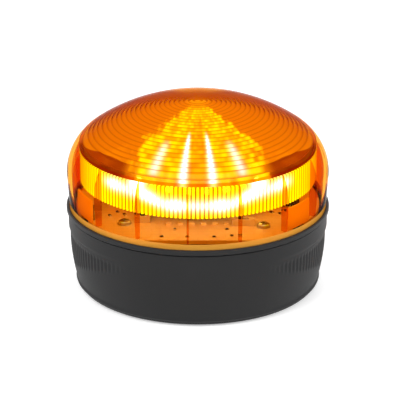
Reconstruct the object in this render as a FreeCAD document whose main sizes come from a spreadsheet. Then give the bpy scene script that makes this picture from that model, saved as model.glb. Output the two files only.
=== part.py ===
"""Battery-powered amber LED beacon, modelled as separate pieces.

The frame has +Z up and its origin at the centre of the underside.  The front of the beacon faces -Y.
Lengths are in millimetres and angles in degrees.
"""
import FreeCAD, Part
import math
import os
import Sketcher

Vector = FreeCAD.Vector
Z_AXIS = Vector(0, 0, 1)

# ---------------------------------------------------------------------------------------------------
# Driving dimensions.  Each row becomes one cell of the sheet, with its name as the alias.
# ---------------------------------------------------------------------------------------------------
DIMENSIONS = [
    # deep base
    ("base_radius", 49.3), ("base_rim_top", 29.6), ("base_wall", 2.5), ("base_floor", 3.0),
    ("base_upright", 8.6), ("base_foot_drop", 3.4), ("base_foot_chamfer", 1.4),
    ("grip_depth", 0.6), ("grip_half_angle", 58.0), ("grip_drop", 5.6), ("grip_bottom", 4.0),
    ("grip_rib_pitch", 2.5), ("grip_rib_depth", 0.5),
    ("fixing_inset", 8.4), ("fixing_hole_radius", 2.25), ("fixing_boss_radius", 4.5),
    ("fixing_boss_height", 2.0), ("fixing_count", 4),
    ("gasket_inset", 2.9), ("gasket_width", 2.4), ("gasket_thickness", 1.5), ("gasket_proud", 0.3),
    # bayonet between base and head
    ("lug_count", 3), ("lug_angle", 16.0), ("lug_depth", 1.5), ("lug_thickness", 2.0), ("lug_drop", 6.2),
    ("bayonet_gap", 0.3), ("ledge_thickness", 1.8), ("lug_gap_angle", 0.4), ("stop_angle", 1.2),
    ("ledge_land_angle", 0.4),
    # head chassis
    ("rim_overhang", 0.7), ("rim_lip", 1.0), ("rim_height", 2.0), ("rim_chamfer", 0.35), ("seam_gap", 0.3),
    ("skirt_wall", 2.0), ("deck_thickness", 1.6), ("deck_drop", 2.8), ("channel_depth", 1.2),
    ("channel_clearance", 0.2), ("upstand_wall", 2.4),
    ("seal_section", 2.0), ("seal_fit", 0.05), ("seal_drop", 1.9), ("lens_seal_thickness", 0.6),
    ("hook_count", 3), ("hook_turn", -36.0), ("hook_width", 6.0), ("hook_thickness", 1.0),
    ("hook_step", 0.2), ("hook_barb", 1.2), ("hook_barb_height", 1.8),
    # lens
    ("lens_flare", 0.95), ("lens_wall", 1.8), ("lens_height", 41.8), ("dome_radius", 72.3),
    ("shoulder_width", 8.25), ("prism_margin", 6.55), ("prism_count", 9), ("prism_depth", 1.1),
    ("catch_angle", 9.0), ("catch_gap", 0.3), ("catch_rise", 3.1), ("catch_height", 1.6),
    ("fin_count", 15), ("fin_turn", -94.5), ("fin_thickness", 0.8), ("fin_reach", 3.2), ("fin_gap", 0.5),
    # fluted ring
    ("flute_ring_gap", 3.15), ("flute_ring_headroom", 0.5), ("flute_ring_wall", 1.6),
    ("flute_ring_height", 11.7), ("flute_depth", 0.7), ("flute_count", 172),
    # control board
    ("board_gap", 0.7), ("board_thickness", 1.6), ("board_drop", 0.9), ("board_flat_depth", 5.3),
    ("board_notch_clearance", 0.4), ("board_screw_inset", 9.7), ("board_screw_angle", 41.8),
    ("screw_radius", 1.25),
    ("screw_head_radius", 2.4), ("screw_head_height", 1.5), ("screw_grip", 5.0), ("screw_clearance", 0.15),
    ("boss_radius", 3.0),
    # parts on the board
    ("lamp_count", 6), ("lamp_pitch", 4.3), ("lamp_length", 2.0), ("lamp_width", 1.25), ("lamp_height", 0.8),
    ("lamp_row", 25.2),
    ("button_inset", 17.0), ("button_angle", 225.0), ("button_body_size", 6.0), ("button_body_height", 2.4),
    ("button_cap_radius", 1.75), ("button_cap_height", 2.8), ("button_travel", 0.8),
    ("switch_inset", 15.9), ("switch_angle", -56.0), ("switch_length", 8.6), ("switch_width", 3.6),
    ("switch_height", 2.4), ("switch_travel", 2.0), ("knob_length", 1.6), ("knob_width", 1.4),
    ("knob_height", 3.4), ("knob_clearance", 0.15),
    ("header_inset", 8.3), ("header_y", 9.0), ("header_length", 5.0), ("header_width", 2.5),
    ("header_height", 6.0),
    ("chip_size", 7.0), ("chip_height", 1.4), ("chip_inset", 11.3),
    ("coil_radius", 3.0), ("coil_height", 3.5), ("coil_inset", 11.8),
    ("capacitor_radius", 3.2), ("capacitor_height", 4.2), ("capacitor_inset", 11.3),
    # light engine
    ("column_count", 12), ("carrier_radius", 25.0), ("carrier_wall", 2.0), ("neck_height", 4.4),
    ("carrier_flange", 1.6), ("carrier_flange_reach", 1.4), ("column_height", 13.4), ("neck_radius", 20.0),
    ("foot_inset", 6.0), ("carrier_foot_size", 7.0), ("carrier_foot_height", 2.0),
    ("carrier_screw_count", 3), ("cap_thickness", 1.4), ("cap_boss_radius", 2.6), ("cap_boss_sink", 0.3),
    ("cap_screw_length", 7.0),
    ("led_board_mitre", 0.5), ("led_board_thickness", 1.0), ("led_board_gap", 0.2),
    ("led_size", 3.5), ("led_height", 1.4), ("led_window", 2.5), ("led_window_depth", 0.3),
    ("led_row_rise", 2.0), ("led_row_pitch", 5.8), ("led_side_offset", 3.7),
    # battery
    ("cell_radius", 7.25), ("cell_nub_radius", 2.75), ("cell_nub_length", 1.2),
    ("cell_count", 4), ("cell_gap", 0.3), ("cell_fit", 0.15), ("tray_wall", 1.2), ("tray_roof", 1.3),
    ("tray_corner_gap", 1.23), ("tray_depth", 12.0), ("contact_room", 1.6), ("contact_thickness", 0.4),
    ("contact_width", 6.0),
    ("tray_tab_x", 12.0), ("tray_tab_width", 7.0), ("tray_tab_length", 6.4), ("tray_screw_length", 3.6),
    ("pin_radius", 0.5), ("pin_inset", 4.5), ("pin_reach", 1.5), ("pin_clearance", 0.1),
]

document = FreeCAD.newDocument("Beacon")
sheet = document.addObject("Spreadsheet::Sheet", "Sizes")
for row, (alias, number) in enumerate(DIMENSIONS, start=1):
    sheet.set("A%d" % row, alias)
    sheet.set("B%d" % row, str(number))
    sheet.setAlias("B%d" % row, alias)
document.recompute()


class Size:
    """A number that also carries the sheet formula that it comes from."""

    def __init__(self, value, formula):
        self.value = value
        self.formula = formula

    @staticmethod
    def of(other):
        if isinstance(other, Size):
            return other
        return Size(float(other), repr(float(other)))

    def joined(self, other, sign, value):
        return Size(value, "(%s %s %s)" % (self.formula, sign, other.formula))

    def __add__(self, other):
        other = Size.of(other)
        return self.joined(other, "+", self.value + other.value)

    def __sub__(self, other):
        other = Size.of(other)
        return self.joined(other, "-", self.value - other.value)

    def __mul__(self, other):
        other = Size.of(other)
        return self.joined(other, "*", self.value * other.value)

    def __truediv__(self, other):
        other = Size.of(other)
        return self.joined(other, "/", self.value / other.value)

    def __radd__(self, other):
        return Size.of(other) + self

    def __rsub__(self, other):
        return Size.of(other) - self

    def __rmul__(self, other):
        return Size.of(other) * self

    def __neg__(self):
        return Size.of(0) - self


def root(size):
    """Square root of a size."""
    return Size(math.sqrt(size.value), "sqrt(%s)" % size.formula)


def size(alias):
    """The sheet's value of one driving dimension."""
    return Size(float(sheet.get(alias)), "Sizes.%s" % alias)


def count(alias):
    """A driving dimension that counts copies."""
    return int(round(sheet.get(alias)))


# ---------------------------------------------------------------------------------------------------
# Helpers for bodies, sketches and features
# ---------------------------------------------------------------------------------------------------
def bind(feature, name, value):
    """Set a property, and bind it to the sheet when the value is a Size."""
    if isinstance(value, Size):
        feature.setExpression(name, value.formula)
    else:
        setattr(feature, name, value)


def new_body(label):
    body = document.addObject("PartDesign::Body", label)
    body.Label = label
    return body


def new_sketch(body, name, plane="XY_Plane", height=None, turn=0.0):
    """A sketch on one of the body's origin planes, raised by height and turned about the Z axis."""
    sketch = body.newObject("Sketcher::SketchObject", name)
    origin_plane = [feature for feature in body.Origin.OriginFeatures if feature.Role == plane][0]
    sketch.AttachmentSupport = [(origin_plane, "")]
    sketch.MapMode = "FlatFace"
    upright = Vector(0, 0, 1) if plane == "XY_Plane" else Vector(0, 1, 0)
    sketch.AttachmentOffset = FreeCAD.Placement(Vector(0, 0, 0), FreeCAD.Rotation(upright, turn))
    if height is not None:
        sketch.setExpression(".AttachmentOffset.Base.z", Size.of(height).formula)
    return sketch


def arc_between(start, end, radius):
    """An arc from start to end; a positive radius has its centre on the left of the way."""
    chord = end - start
    half = chord.Length / 2
    rise = math.sqrt(max(radius * radius - half * half, 0.0))
    left = Vector(-chord.y, chord.x, 0).normalize()
    centre = (start + end) * 0.5 + left * (rise if radius > 0 else -rise)
    first, last = (start, end) if radius > 0 else (end, start)
    angles = [math.atan2(point.y - centre.y, point.x - centre.x) for point in (first, last)]
    circle = Part.Circle(centre, Z_AXIS, abs(radius))
    return Part.ArcOfCircle(circle, angles[0], angles[1])


def draw_outline(sketch, corners):
    """Draw a closed outline.  A corner is (x, y) or (x, y, radius of the arc to the next corner)."""
    places = [(Size.of(corner[0]), Size.of(corner[1])) for corner in corners]
    points = [Vector(x.value, y.value, 0) for x, y in places]
    ends = []
    for index, corner in enumerate(corners):
        start = points[index]
        end = points[(index + 1) % len(points)]
        if len(corner) == 3:
            radius = Size.of(corner[2])
            edge = sketch.addGeometry(arc_between(start, end, radius.value), False)
            ends.append((edge, 1, 2) if radius.value > 0 else (edge, 2, 1))
            length = radius if radius.value > 0 else -radius
            constrain(sketch, ("Radius", edge, length.value), length)
        else:
            edge = sketch.addGeometry(Part.LineSegment(start, end), False)
            ends.append((edge, 1, 2))
    for index, (edge, first, last) in enumerate(ends):
        next_edge, next_first, next_last = ends[(index + 1) % len(ends)]
        sketch.addConstraint(Sketcher.Constraint("Coincident", edge, last, next_edge, next_first))
        x, y = places[index]
        constrain(sketch, ("DistanceX", -1, 1, edge, first, x.value), x)
        constrain(sketch, ("DistanceY", -1, 1, edge, first, y.value), y)


def draw_circle(sketch, x, y, radius):
    x, y, radius = Size.of(x), Size.of(y), Size.of(radius)
    edge = sketch.addGeometry(Part.Circle(Vector(x.value, y.value, 0), Z_AXIS, radius.value), False)
    constrain(sketch, ("DistanceX", -1, 1, edge, 3, x.value), x)
    constrain(sketch, ("DistanceY", -1, 1, edge, 3, y.value), y)
    constrain(sketch, ("Radius", edge, radius.value), radius)


def draw_box(sketch, x_low, x_high, y_low, y_high):
    draw_outline(sketch, [(x_low, y_low), (x_high, y_low), (x_high, y_high), (x_low, y_high)])


def constrain(sketch, parts, value):
    number = sketch.addConstraint(Sketcher.Constraint(*parts))
    sketch.setExpression("Constraints[%d]" % number, value.formula)


def add_feature(body, kind, name, profile):
    feature = body.newObject("PartDesign::" + kind, name)
    feature.Profile = profile
    profile.Visibility = False
    return feature


def pad(body, name, profile, length, both_ways=False):
    feature = add_feature(body, "Pad", name, profile)
    bind(feature, "Length", length)
    feature.Midplane = both_ways
    return feature


def pocket(body, name, profile, length=None, upwards=False):
    """Cut down from the sketch, or upwards, by a length or right through."""
    feature = add_feature(body, "Pocket", name, profile)
    feature.Reversed = upwards
    if length is None:
        feature.Type = 1
    else:
        bind(feature, "Length", length)
    return feature


def revolve(body, name, profile, angle=None, cut=False):
    """Turn an upright profile about the Z axis, right round or centred on its own plane."""
    feature = add_feature(body, "Groove" if cut else "Revolution", name, profile)
    feature.ReferenceAxis = (profile, ["V_Axis"])
    if angle is None:
        feature.Angle = 360
    else:
        bind(feature, "Angle", angle)
        feature.Midplane = True
    return feature


def pattern(body, name, features, copies):
    """Repeat features evenly about the Z axis."""
    feature = body.newObject("PartDesign::PolarPattern", name)
    feature.Originals = features
    z_axis = [item for item in body.Origin.OriginFeatures if item.Role == "Z_Axis"][0]
    feature.Axis = (z_axis, [""])
    feature.Angle = 360
    bind(feature, "Occurrences", copies)
    body.Tip = feature
    return feature


def polygon_corners(inner_radius, sides):
    """Corners of an even polygon whose corners start on +X, from the radius of its inner circle."""
    reach = 1 / math.cos(math.pi / sides)
    corners = []
    for index in range(sides):
        angle = 2 * math.pi * index / sides
        corners.append((inner_radius * (reach * math.cos(angle)), inner_radius * (reach * math.sin(angle))))
    return corners


def turned(x, y, angle):
    """A point turned about the Z axis."""
    cosine = math.cos(math.radians(angle))
    sine = math.sin(math.radians(angle))
    return x * cosine - y * sine, x * sine + y * cosine


def round_edges(body, name, radius, chosen, kind="Fillet"):
    """Round or chamfer the edges of the body's last feature that the test chooses."""
    document.recompute()
    base = body.Tip
    edges = ["Edge%d" % number for number, edge in enumerate(base.Shape.Edges, start=1) if chosen(edge)]
    feature = body.newObject("PartDesign::" + kind, name)
    feature.Base = (base, edges)
    bind(feature, "Radius" if kind == "Fillet" else "Size", radius)
    body.Tip = feature
    return feature


def level_edge(height):
    """A test for edges that lie level at a height."""
    def test(edge):
        box = edge.BoundBox
        return abs(box.ZMin - height.value) < 1e-4 and abs(box.ZMax - height.value) < 1e-4
    return test


def screws(label, places, seat, length, upside_down=False):
    """Pan-head screws at some places, with their heads on a seat and shanks below it, or above it."""
    body = new_body(label)
    shank = new_sketch(body, label + "_shanks", height=seat)
    head = new_sketch(body, label + "_heads", height=seat)
    for x, y in places:
        draw_circle(shank, x, y, size("screw_radius"))
        draw_circle(head, x, y, size("screw_head_radius"))
    shanks = pad(body, label + "_shank_pad", shank, length)
    shanks.Reversed = not upside_down
    heads = pad(body, label + "_head_pad", head, size("screw_head_height"))
    heads.Reversed = upside_down
    top = seat - size("screw_head_height") if upside_down else seat + size("screw_head_height")
    round_edges(body, label + "_head_chamfer", size("screw_head_height") * 0.4, level_edge(top), "Chamfer")
    return body


# ---------------------------------------------------------------------------------------------------
# Levels and radii that several pieces share
# ---------------------------------------------------------------------------------------------------
base_inner = size("base_radius") - size("base_wall")
base_bottom = size("gasket_proud")
base_taper_top = size("base_rim_top") - size("base_upright")
foot_radius = size("base_radius") - size("base_foot_drop")
floor_top = base_bottom + size("base_floor")
fixing_ring = foot_radius - size("fixing_inset")
gasket_outer = foot_radius - size("gasket_inset")
gasket_inner = gasket_outer - size("gasket_width")
rim_under = size("base_rim_top") + size("seam_gap")
seam = rim_under + size("rim_height")

lug_bottom = size("base_rim_top") - size("lug_drop")
lug_top = lug_bottom + size("lug_thickness")
lug_tip = base_inner - size("lug_depth")
skirt_outer = lug_tip - size("bayonet_gap")
skirt_inner = skirt_outer - size("skirt_wall")
ledge_outer = base_inner - size("bayonet_gap")
ledge_top = lug_bottom - size("bayonet_gap")
skirt_bottom = ledge_top - size("ledge_thickness")

rim_radius = size("base_radius") + size("rim_overhang")
deck_top = seam - size("deck_drop")
deck_bottom = deck_top - size("deck_thickness")
channel_floor = seam - size("channel_depth")
channel_outer = rim_radius - size("rim_lip")
lens_foot_outer = channel_outer - size("channel_clearance")
lens_foot_inner = lens_foot_outer - size("lens_wall")
upstand_outer = lens_foot_inner - size("channel_clearance")
upstand_inner = upstand_outer - size("upstand_wall")
board_bottom = seam - size("board_drop")
lens_foot_bottom = channel_floor + size("lens_seal_thickness")

hook_outer = upstand_inner + size("hook_step")
hook_inner = hook_outer - size("hook_thickness")
catch_inner = hook_outer + size("catch_gap")
catch_bottom = seam + size("catch_rise")
catch_top = catch_bottom + size("catch_height")
hook_top = catch_top + size("hook_barb_height")

seal_level = size("base_rim_top") - size("seal_drop")
seal_outer = base_inner - size("seal_fit")
seal_inner = seal_outer - size("seal_section")

lens_radius = lens_foot_outer + size("lens_flare")
lens_top = seam + size("lens_height")
dome_edge_radius = lens_radius - size("shoulder_width")
dome_centre = lens_top - size("dome_radius")
dome_lean_sine = dome_edge_radius / size("dome_radius")
dome_lean_cosine = root(1 - dome_lean_sine * dome_lean_sine)
dome_edge_height = dome_centre + size("dome_radius") * dome_lean_cosine
shoulder_radius = size("shoulder_width") / (1 - dome_lean_sine)
shoulder_centre_radius = lens_radius - shoulder_radius
shoulder_height = dome_edge_height - shoulder_radius * dome_lean_cosine


def lens_inner_height(radius):
    """Height of the lens's plain inner surface, above its prisms, at a radius."""
    inner_dome = size("dome_radius") - size("lens_wall")
    if radius.value <= (inner_dome * dome_lean_sine).value:
        return dome_centre + root(inner_dome * inner_dome - radius * radius)
    inner_shoulder = shoulder_radius - size("lens_wall")
    beyond = radius - shoulder_centre_radius
    return shoulder_height + root(inner_shoulder * inner_shoulder - beyond * beyond)


flute_ring_radius = lens_radius - size("lens_wall") - size("flute_ring_gap")
flute_ring_top = lens_inner_height(flute_ring_radius) - size("flute_ring_headroom")
flute_ring_bottom = flute_ring_top - size("flute_ring_height")

board_radius = lens_foot_inner - size("board_gap")
board_top = board_bottom + size("board_thickness")
screw_hole = size("screw_radius") + size("screw_clearance")
pin_hole = size("pin_radius") + size("pin_clearance")


def places_round(radius, first_angle, copies):
    """Evenly spaced places on a circle."""
    return [turned(radius, radius * 0, first_angle + 360.0 * index / copies) for index in range(copies)]


board_screw_places = places_round(board_radius - size("board_screw_inset"),
                                  size("board_screw_angle").value, 4)
carrier_screw_places = places_round(size("neck_radius") - size("foot_inset"), 0,
                                    count("carrier_screw_count"))
pin_ring = size("neck_radius") - size("pin_inset")
pin_places = [(0, pin_ring), (0, -pin_ring)]

carrier_bottom = board_top + size("neck_height")
carrier_inner = size("carrier_radius") - size("carrier_wall")
flange_top = carrier_bottom + size("carrier_flange")
flange_radius = size("carrier_radius") + size("carrier_flange_reach")
carrier_top = flange_top + size("column_height")
cap_screw_places = places_round(carrier_inner - size("cap_boss_radius") + size("cap_boss_sink"),
                                180.0 / count("column_count"), count("carrier_screw_count"))
led_face = size("carrier_radius") + size("led_board_thickness")

cell_pitch = size("cell_radius") * 2 + size("cell_gap")
cell_level = deck_bottom - size("tray_roof") - size("cell_fit") - size("cell_radius")
tray_half_width = cell_pitch * (count("cell_count") / 2.0) + size("cell_fit") + size("tray_wall")
tray_corner = skirt_inner - size("tray_corner_gap")
tray_half_length = root(tray_corner * tray_corner - tray_half_width * tray_half_width)
tray_inner_length = tray_half_length - size("tray_wall")
cell_length = (tray_inner_length - size("contact_room")) * 2
tray_ceiling = deck_bottom - size("tray_roof")
tray_bottom = deck_bottom - size("tray_depth")
tab_screw_y = tray_half_length + size("tray_tab_length") / 2
tray_screw_places = [(size("tray_tab_x") * side, tab_screw_y * end) for side in (-1, 1) for end in (-1, 1)]


# ---------------------------------------------------------------------------------------------------
# Deep base
# ---------------------------------------------------------------------------------------------------
def build_base_housing():
    """The moulded cup: curved wall, floor, fixing bosses, bayonet lugs and ribbed finger grips."""
    body = new_body("base_cup")
    rise = base_taper_top - base_bottom
    curve = (rise * rise + size("base_foot_drop") * size("base_foot_drop")) / (size("base_foot_drop") * 2)
    chamfer = size("base_foot_chamfer")
    side = []
    for share in (0.72, 0.4, 0.18):
        below = rise * share
        side.append((size("base_radius") - curve + root(curve * curve - below * below),
                     base_taper_top - below))
    profile = new_sketch(body, "base_profile", "XZ_Plane")
    draw_outline(profile, [
        (0, base_bottom),
        (foot_radius - chamfer, base_bottom),
        (foot_radius + chamfer * 0.3, base_bottom + chamfer),
        *side,
        (size("base_radius"), base_taper_top),
        (size("base_radius"), size("base_rim_top")),
        (base_inner, size("base_rim_top")),
        (base_inner, base_taper_top),
        (base_inner - size("base_foot_drop"), floor_top),
        (0, floor_top),
    ])
    revolve(body, "base_wall_and_floor", profile)

    boss = new_sketch(body, "fixing_boss_outline", height=base_bottom)
    draw_circle(boss, fixing_ring, 0, size("fixing_boss_radius"))
    boss_pad = pad(body, "fixing_boss", boss, size("base_floor") + size("fixing_boss_height"))
    pattern(body, "fixing_bosses", [boss_pad], size("fixing_count"))
    hole = new_sketch(body, "fixing_hole_outline", height=floor_top + size("fixing_boss_height"))
    draw_circle(hole, fixing_ring, 0, size("fixing_hole_radius"))
    hole_cut = pocket(body, "fixing_hole", hole)
    pattern(body, "fixing_holes", [hole_cut], size("fixing_count"))

    groove = new_sketch(body, "gasket_groove_profile", "XZ_Plane")
    draw_box(groove, gasket_inner, gasket_outer, base_bottom - 1, size("gasket_thickness"))
    revolve(body, "gasket_groove", groove, cut=True)

    lug = new_sketch(body, "lug_profile", "XZ_Plane")
    draw_box(lug, lug_tip, base_inner + size("base_wall") / 2, lug_bottom, lug_top)
    lug_sector = revolve(body, "bayonet_lug", lug, size("lug_angle"))
    pattern(body, "bayonet_lugs", [lug_sector], size("lug_count"))

    housing = document.addObject("Part::Cut", "base_housing")
    housing.Label = "base_housing"
    housing.Base = body
    housing.Tool = build_grip_cutter()
    return housing


def build_grip_cutter():
    """The space outside both finger grips: a shallow scallop whose floor carries upright ribs."""
    outer = size("base_radius").value
    depth = size("grip_depth").value
    half_angle = math.radians(size("grip_half_angle").value)
    middle = outer - depth
    offset = (outer ** 2 - middle ** 2) / (2 * (outer * math.cos(half_angle) - middle))
    scallop = middle - offset
    pitch = math.radians(size("grip_rib_pitch").value)
    rib_count = int(half_angle // pitch)
    clear = outer + 3

    def floor_point(angle, rise):
        reach = offset * math.cos(angle) + math.sqrt(scallop ** 2 - (offset * math.sin(angle)) ** 2) + rise
        return Vector(reach * math.cos(angle), reach * math.sin(angle), 0)

    points = [floor_point(-half_angle, 0)]
    for index in range(-rib_count, rib_count + 1):
        angle = index * pitch
        points.append(floor_point(angle, size("grip_rib_depth").value))
        points.append(floor_point(angle + pitch / 2, 0))
    edges = [Part.makeLine(first, last) for first, last in zip(points, points[1:])]
    ends = [Vector(clear * math.cos(angle), clear * math.sin(angle), 0)
            for angle in (math.atan2(points[-1].y, points[-1].x), 0, -half_angle)]
    edges.append(Part.makeLine(points[-1], ends[0]))
    edges.append(Part.Arc(ends[0], ends[1], ends[2]).toShape())
    edges.append(Part.makeLine(ends[2], points[0]))
    face = Part.Face(Part.Wire(edges))
    face.translate(Z_AXIS * size("grip_bottom").value)
    grip_top = size("base_rim_top") - size("grip_drop")
    right = face.extrude(Z_AXIS * (grip_top - size("grip_bottom")).value)
    left = right.copy()
    left.rotate(Vector(0, 0, 0), Z_AXIS, 180)
    cutter = document.addObject("Part::Feature", "grip_cutter")
    cutter.Shape = Part.makeCompound([right, left])
    return cutter


def build_mounting_gasket():
    """The flat ring in the underside that seals the base to what it is fixed on."""
    body = new_body("mounting_gasket")
    profile = new_sketch(body, "mounting_gasket_profile", "XZ_Plane")
    draw_box(profile, gasket_inner, gasket_outer, 0, size("gasket_thickness"))
    revolve(body, "mounting_gasket_ring", profile)
    return body


# ---------------------------------------------------------------------------------------------------
# Head chassis and seals
# ---------------------------------------------------------------------------------------------------
def build_head_chassis():
    """The black carrier of the head: visible rim, lens channel, deck, bayonet skirt and lens hooks."""
    body = new_body("head_chassis")
    seal_low = seal_level - size("seal_section") / 2 - size("seal_fit")
    seal_high = seal_level + size("seal_section") / 2 + size("seal_fit")
    chamfer = size("rim_chamfer")
    profile = new_sketch(body, "chassis_profile", "XZ_Plane")
    draw_outline(profile, [
        (0, deck_bottom),
        (skirt_inner, deck_bottom),
        (skirt_inner, skirt_bottom),
        (skirt_outer, skirt_bottom),
        (skirt_outer, seal_low),
        (seal_inner, seal_low),
        (seal_inner, seal_high),
        (skirt_outer, seal_high),
        (skirt_outer, rim_under),
        (rim_radius - chamfer, rim_under),
        (rim_radius, rim_under + chamfer),
        (rim_radius, seam - chamfer),
        (rim_radius - chamfer, seam),
        (channel_outer, seam),
        (channel_outer, channel_floor),
        (upstand_outer, channel_floor),
        (upstand_outer, board_bottom),
        (upstand_inner, board_bottom),
        (upstand_inner, deck_top),
        (0, deck_top),
    ])
    revolve(body, "rim_deck_and_skirt", profile)

    ledge = new_sketch(body, "ledge_profile", "XZ_Plane")
    draw_box(ledge, skirt_outer - size("skirt_wall") / 2, ledge_outer, skirt_bottom, ledge_top)
    beyond_lug = size("lug_gap_angle") + size("stop_angle") + size("ledge_land_angle")
    ledge_angle = size("lug_angle") + beyond_lug * 2
    ledge_sector = revolve(body, "bayonet_ledge", ledge, ledge_angle)
    stop_turn = (size("lug_angle") / 2 + size("lug_gap_angle") + size("stop_angle") / 2).value
    stop = new_sketch(body, "stop_profile", "XZ_Plane", turn=stop_turn)
    draw_box(stop, skirt_outer - size("skirt_wall") / 2, ledge_outer, skirt_bottom, lug_top)
    stop_sector = revolve(body, "bayonet_stop", stop, size("stop_angle"))
    pattern(body, "bayonet_ledges", [ledge_sector, stop_sector], size("lug_count"))

    hook = new_sketch(body, "hook_profile", "XZ_Plane", turn=size("hook_turn").value)
    draw_outline(hook, [
        (hook_inner, deck_top),
        (hook_outer, deck_top),
        (hook_outer, catch_top),
        (hook_outer + size("hook_barb"), catch_top),
        (hook_outer, hook_top),
        (hook_inner, hook_top),
    ])
    hook_pad = pad(body, "lens_hook", hook, size("hook_width"), both_ways=True)
    pattern(body, "lens_hooks", [hook_pad], size("hook_count"))

    bosses = new_sketch(body, "boss_outlines", height=deck_top)
    for x, y in board_screw_places + carrier_screw_places:
        draw_circle(bosses, x, y, size("boss_radius"))
    pad(body, "board_bosses", bosses, board_bottom - deck_top)
    holes = new_sketch(body, "chassis_hole_outlines", height=board_bottom)
    for x, y in board_screw_places + carrier_screw_places + tray_screw_places:
        draw_circle(holes, x, y, screw_hole)
    for x, y in pin_places:
        draw_circle(holes, x, y, pin_hole)
    pocket(body, "chassis_holes", holes)
    return body


def build_head_seal():
    """The square-cut sealing ring in the skirt's groove, which slides on the base's inner wall."""
    body = new_body("head_seal")
    profile = new_sketch(body, "head_seal_profile", "XZ_Plane")
    draw_box(profile, seal_outer - size("seal_section"), seal_outer,
             seal_level - size("seal_section") / 2, seal_level + size("seal_section") / 2)
    revolve(body, "head_seal_ring", profile)
    return body


def build_lens_seal():
    """The flat ring that the lens's foot presses into its channel."""
    body = new_body("lens_seal")
    profile = new_sketch(body, "lens_seal_profile", "XZ_Plane")
    draw_box(profile, upstand_outer, channel_outer, channel_floor, lens_foot_bottom)
    revolve(body, "lens_seal_ring", profile)
    return body


# ---------------------------------------------------------------------------------------------------
# Lens and fluted ring
# ---------------------------------------------------------------------------------------------------
def build_lens_dome():
    """The amber lens: smooth outside, concentric prisms inside the dome, fins and catches on the wall."""
    wall = size("lens_wall")
    zone_edge = lens_radius - size("prism_margin")
    inner_side = lens_radius - wall
    prisms = []
    for index in range(count("prism_count"), 0, -1):
        radius = zone_edge * (float(index) / count("prism_count"))
        prisms.append((radius, lens_inner_height(radius)))
        prisms.append((radius, lens_inner_height(radius) - size("prism_depth")))
    inner_shoulder = []
    for share in (0.12, 0.35, 0.65):
        radius = inner_side - (inner_side - zone_edge) * share
        inner_shoulder.append((radius, lens_inner_height(radius)))

    body = new_body("lens_dome")
    profile = new_sketch(body, "lens_profile", "XZ_Plane")
    draw_outline(profile, [
        (0, lens_inner_height(Size.of(0))),
        (0, lens_top, -size("dome_radius")),
        (dome_edge_radius, dome_edge_height, -shoulder_radius),
        (lens_radius, shoulder_height),
        (lens_foot_outer, lens_foot_bottom),
        (lens_foot_inner, lens_foot_bottom),
        (inner_side, shoulder_height),
        *inner_shoulder,
        *prisms,
    ])
    revolve(body, "lens_shell", profile)

    fin_inner = lens_foot_inner - size("fin_reach")
    fin_foot = lens_foot_outer - wall / 2
    fin = new_sketch(body, "fin_profile", "XZ_Plane", turn=size("fin_turn").value)
    draw_outline(fin, [
        (fin_inner, board_top + size("fin_gap")),
        (fin_foot, board_top + size("fin_gap")),
        (fin_foot + size("lens_flare") / 2, flute_ring_bottom),
        (fin_inner, flute_ring_bottom),
    ])
    fin_pad = pad(body, "wall_fin", fin, size("fin_thickness"), both_ways=True)
    pattern(body, "wall_fins", [fin_pad], size("fin_count"))

    catch = new_sketch(body, "catch_profile", "XZ_Plane", turn=size("hook_turn").value)
    draw_box(catch, catch_inner, fin_foot, catch_bottom, catch_top)
    catch_sector = revolve(body, "hook_catch", catch, size("catch_angle"))
    pattern(body, "hook_catches", [catch_sector], size("hook_count"))
    return body


def build_prism_ring():
    """The clear inner ring, fluted outside with fine upright prisms that spread the light sideways."""
    crest = flute_ring_radius.value
    valley = crest - size("flute_depth").value
    inner = valley - size("flute_ring_wall").value
    step = math.pi / count("flute_count")
    points = []
    for index in range(2 * count("flute_count") + 1):
        reach = crest if index % 2 == 0 else valley
        points.append(Vector(reach * math.cos(index * step), reach * math.sin(index * step), 0))
    height = size("flute_ring_height").value
    fluted = Part.Face(Part.makePolygon(points)).extrude(Z_AXIS * height)
    ring = document.addObject("Part::Feature", "prism_ring")
    ring.Label = "prism_ring"
    ring.Shape = fluted.cut(Part.makeCylinder(inner, height))
    ring.Placement = FreeCAD.Placement(Z_AXIS * flute_ring_bottom.value, FreeCAD.Rotation())
    return ring


# ---------------------------------------------------------------------------------------------------
# Control board and what is on it
# ---------------------------------------------------------------------------------------------------
def build_deck_board():
    """The round control board at the seam, with a straight front edge and notches for the lens hooks."""
    body = new_body("deck_board")
    outline = new_sketch(body, "board_outline", height=board_bottom)
    draw_circle(outline, 0, 0, board_radius)
    pad(body, "board_plate", outline, size("board_thickness"))
    cuts = new_sketch(body, "board_cut_outlines", height=board_top)
    draw_box(cuts, -board_radius, board_radius, -board_radius - 1, size("board_flat_depth") - board_radius)
    notch_floor = hook_inner - size("board_notch_clearance")
    notch_half = size("hook_width") / 2 + size("board_notch_clearance")
    for index in range(count("hook_count")):
        angle = size("hook_turn").value + 360.0 * index / count("hook_count")
        draw_outline(cuts, [
            turned(notch_floor, -notch_half, angle),
            turned(board_radius + 1, -notch_half, angle),
            turned(board_radius + 1, notch_half, angle),
            turned(notch_floor, notch_half, angle),
        ])
    for x, y in board_screw_places + carrier_screw_places:
        draw_circle(cuts, x, y, screw_hole)
    for x, y in pin_places:
        draw_circle(cuts, x, y, pin_hole)
    pocket(body, "board_cuts", cuts)
    return body


def build_status_lamps():
    """The row of small surface-mount lamps near the front."""
    body = new_body("status_lamps")
    outline = new_sketch(body, "lamp_outlines", height=board_top)
    for index in range(count("lamp_count")):
        x = size("lamp_pitch") * (index - (count("lamp_count") - 1) / 2.0)
        draw_box(outline, x - size("lamp_length") / 2, x + size("lamp_length") / 2,
                 -size("lamp_row") - size("lamp_width") / 2, -size("lamp_row") + size("lamp_width") / 2)
    pad(body, "lamp_pads", outline, size("lamp_height"))
    return body


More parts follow.
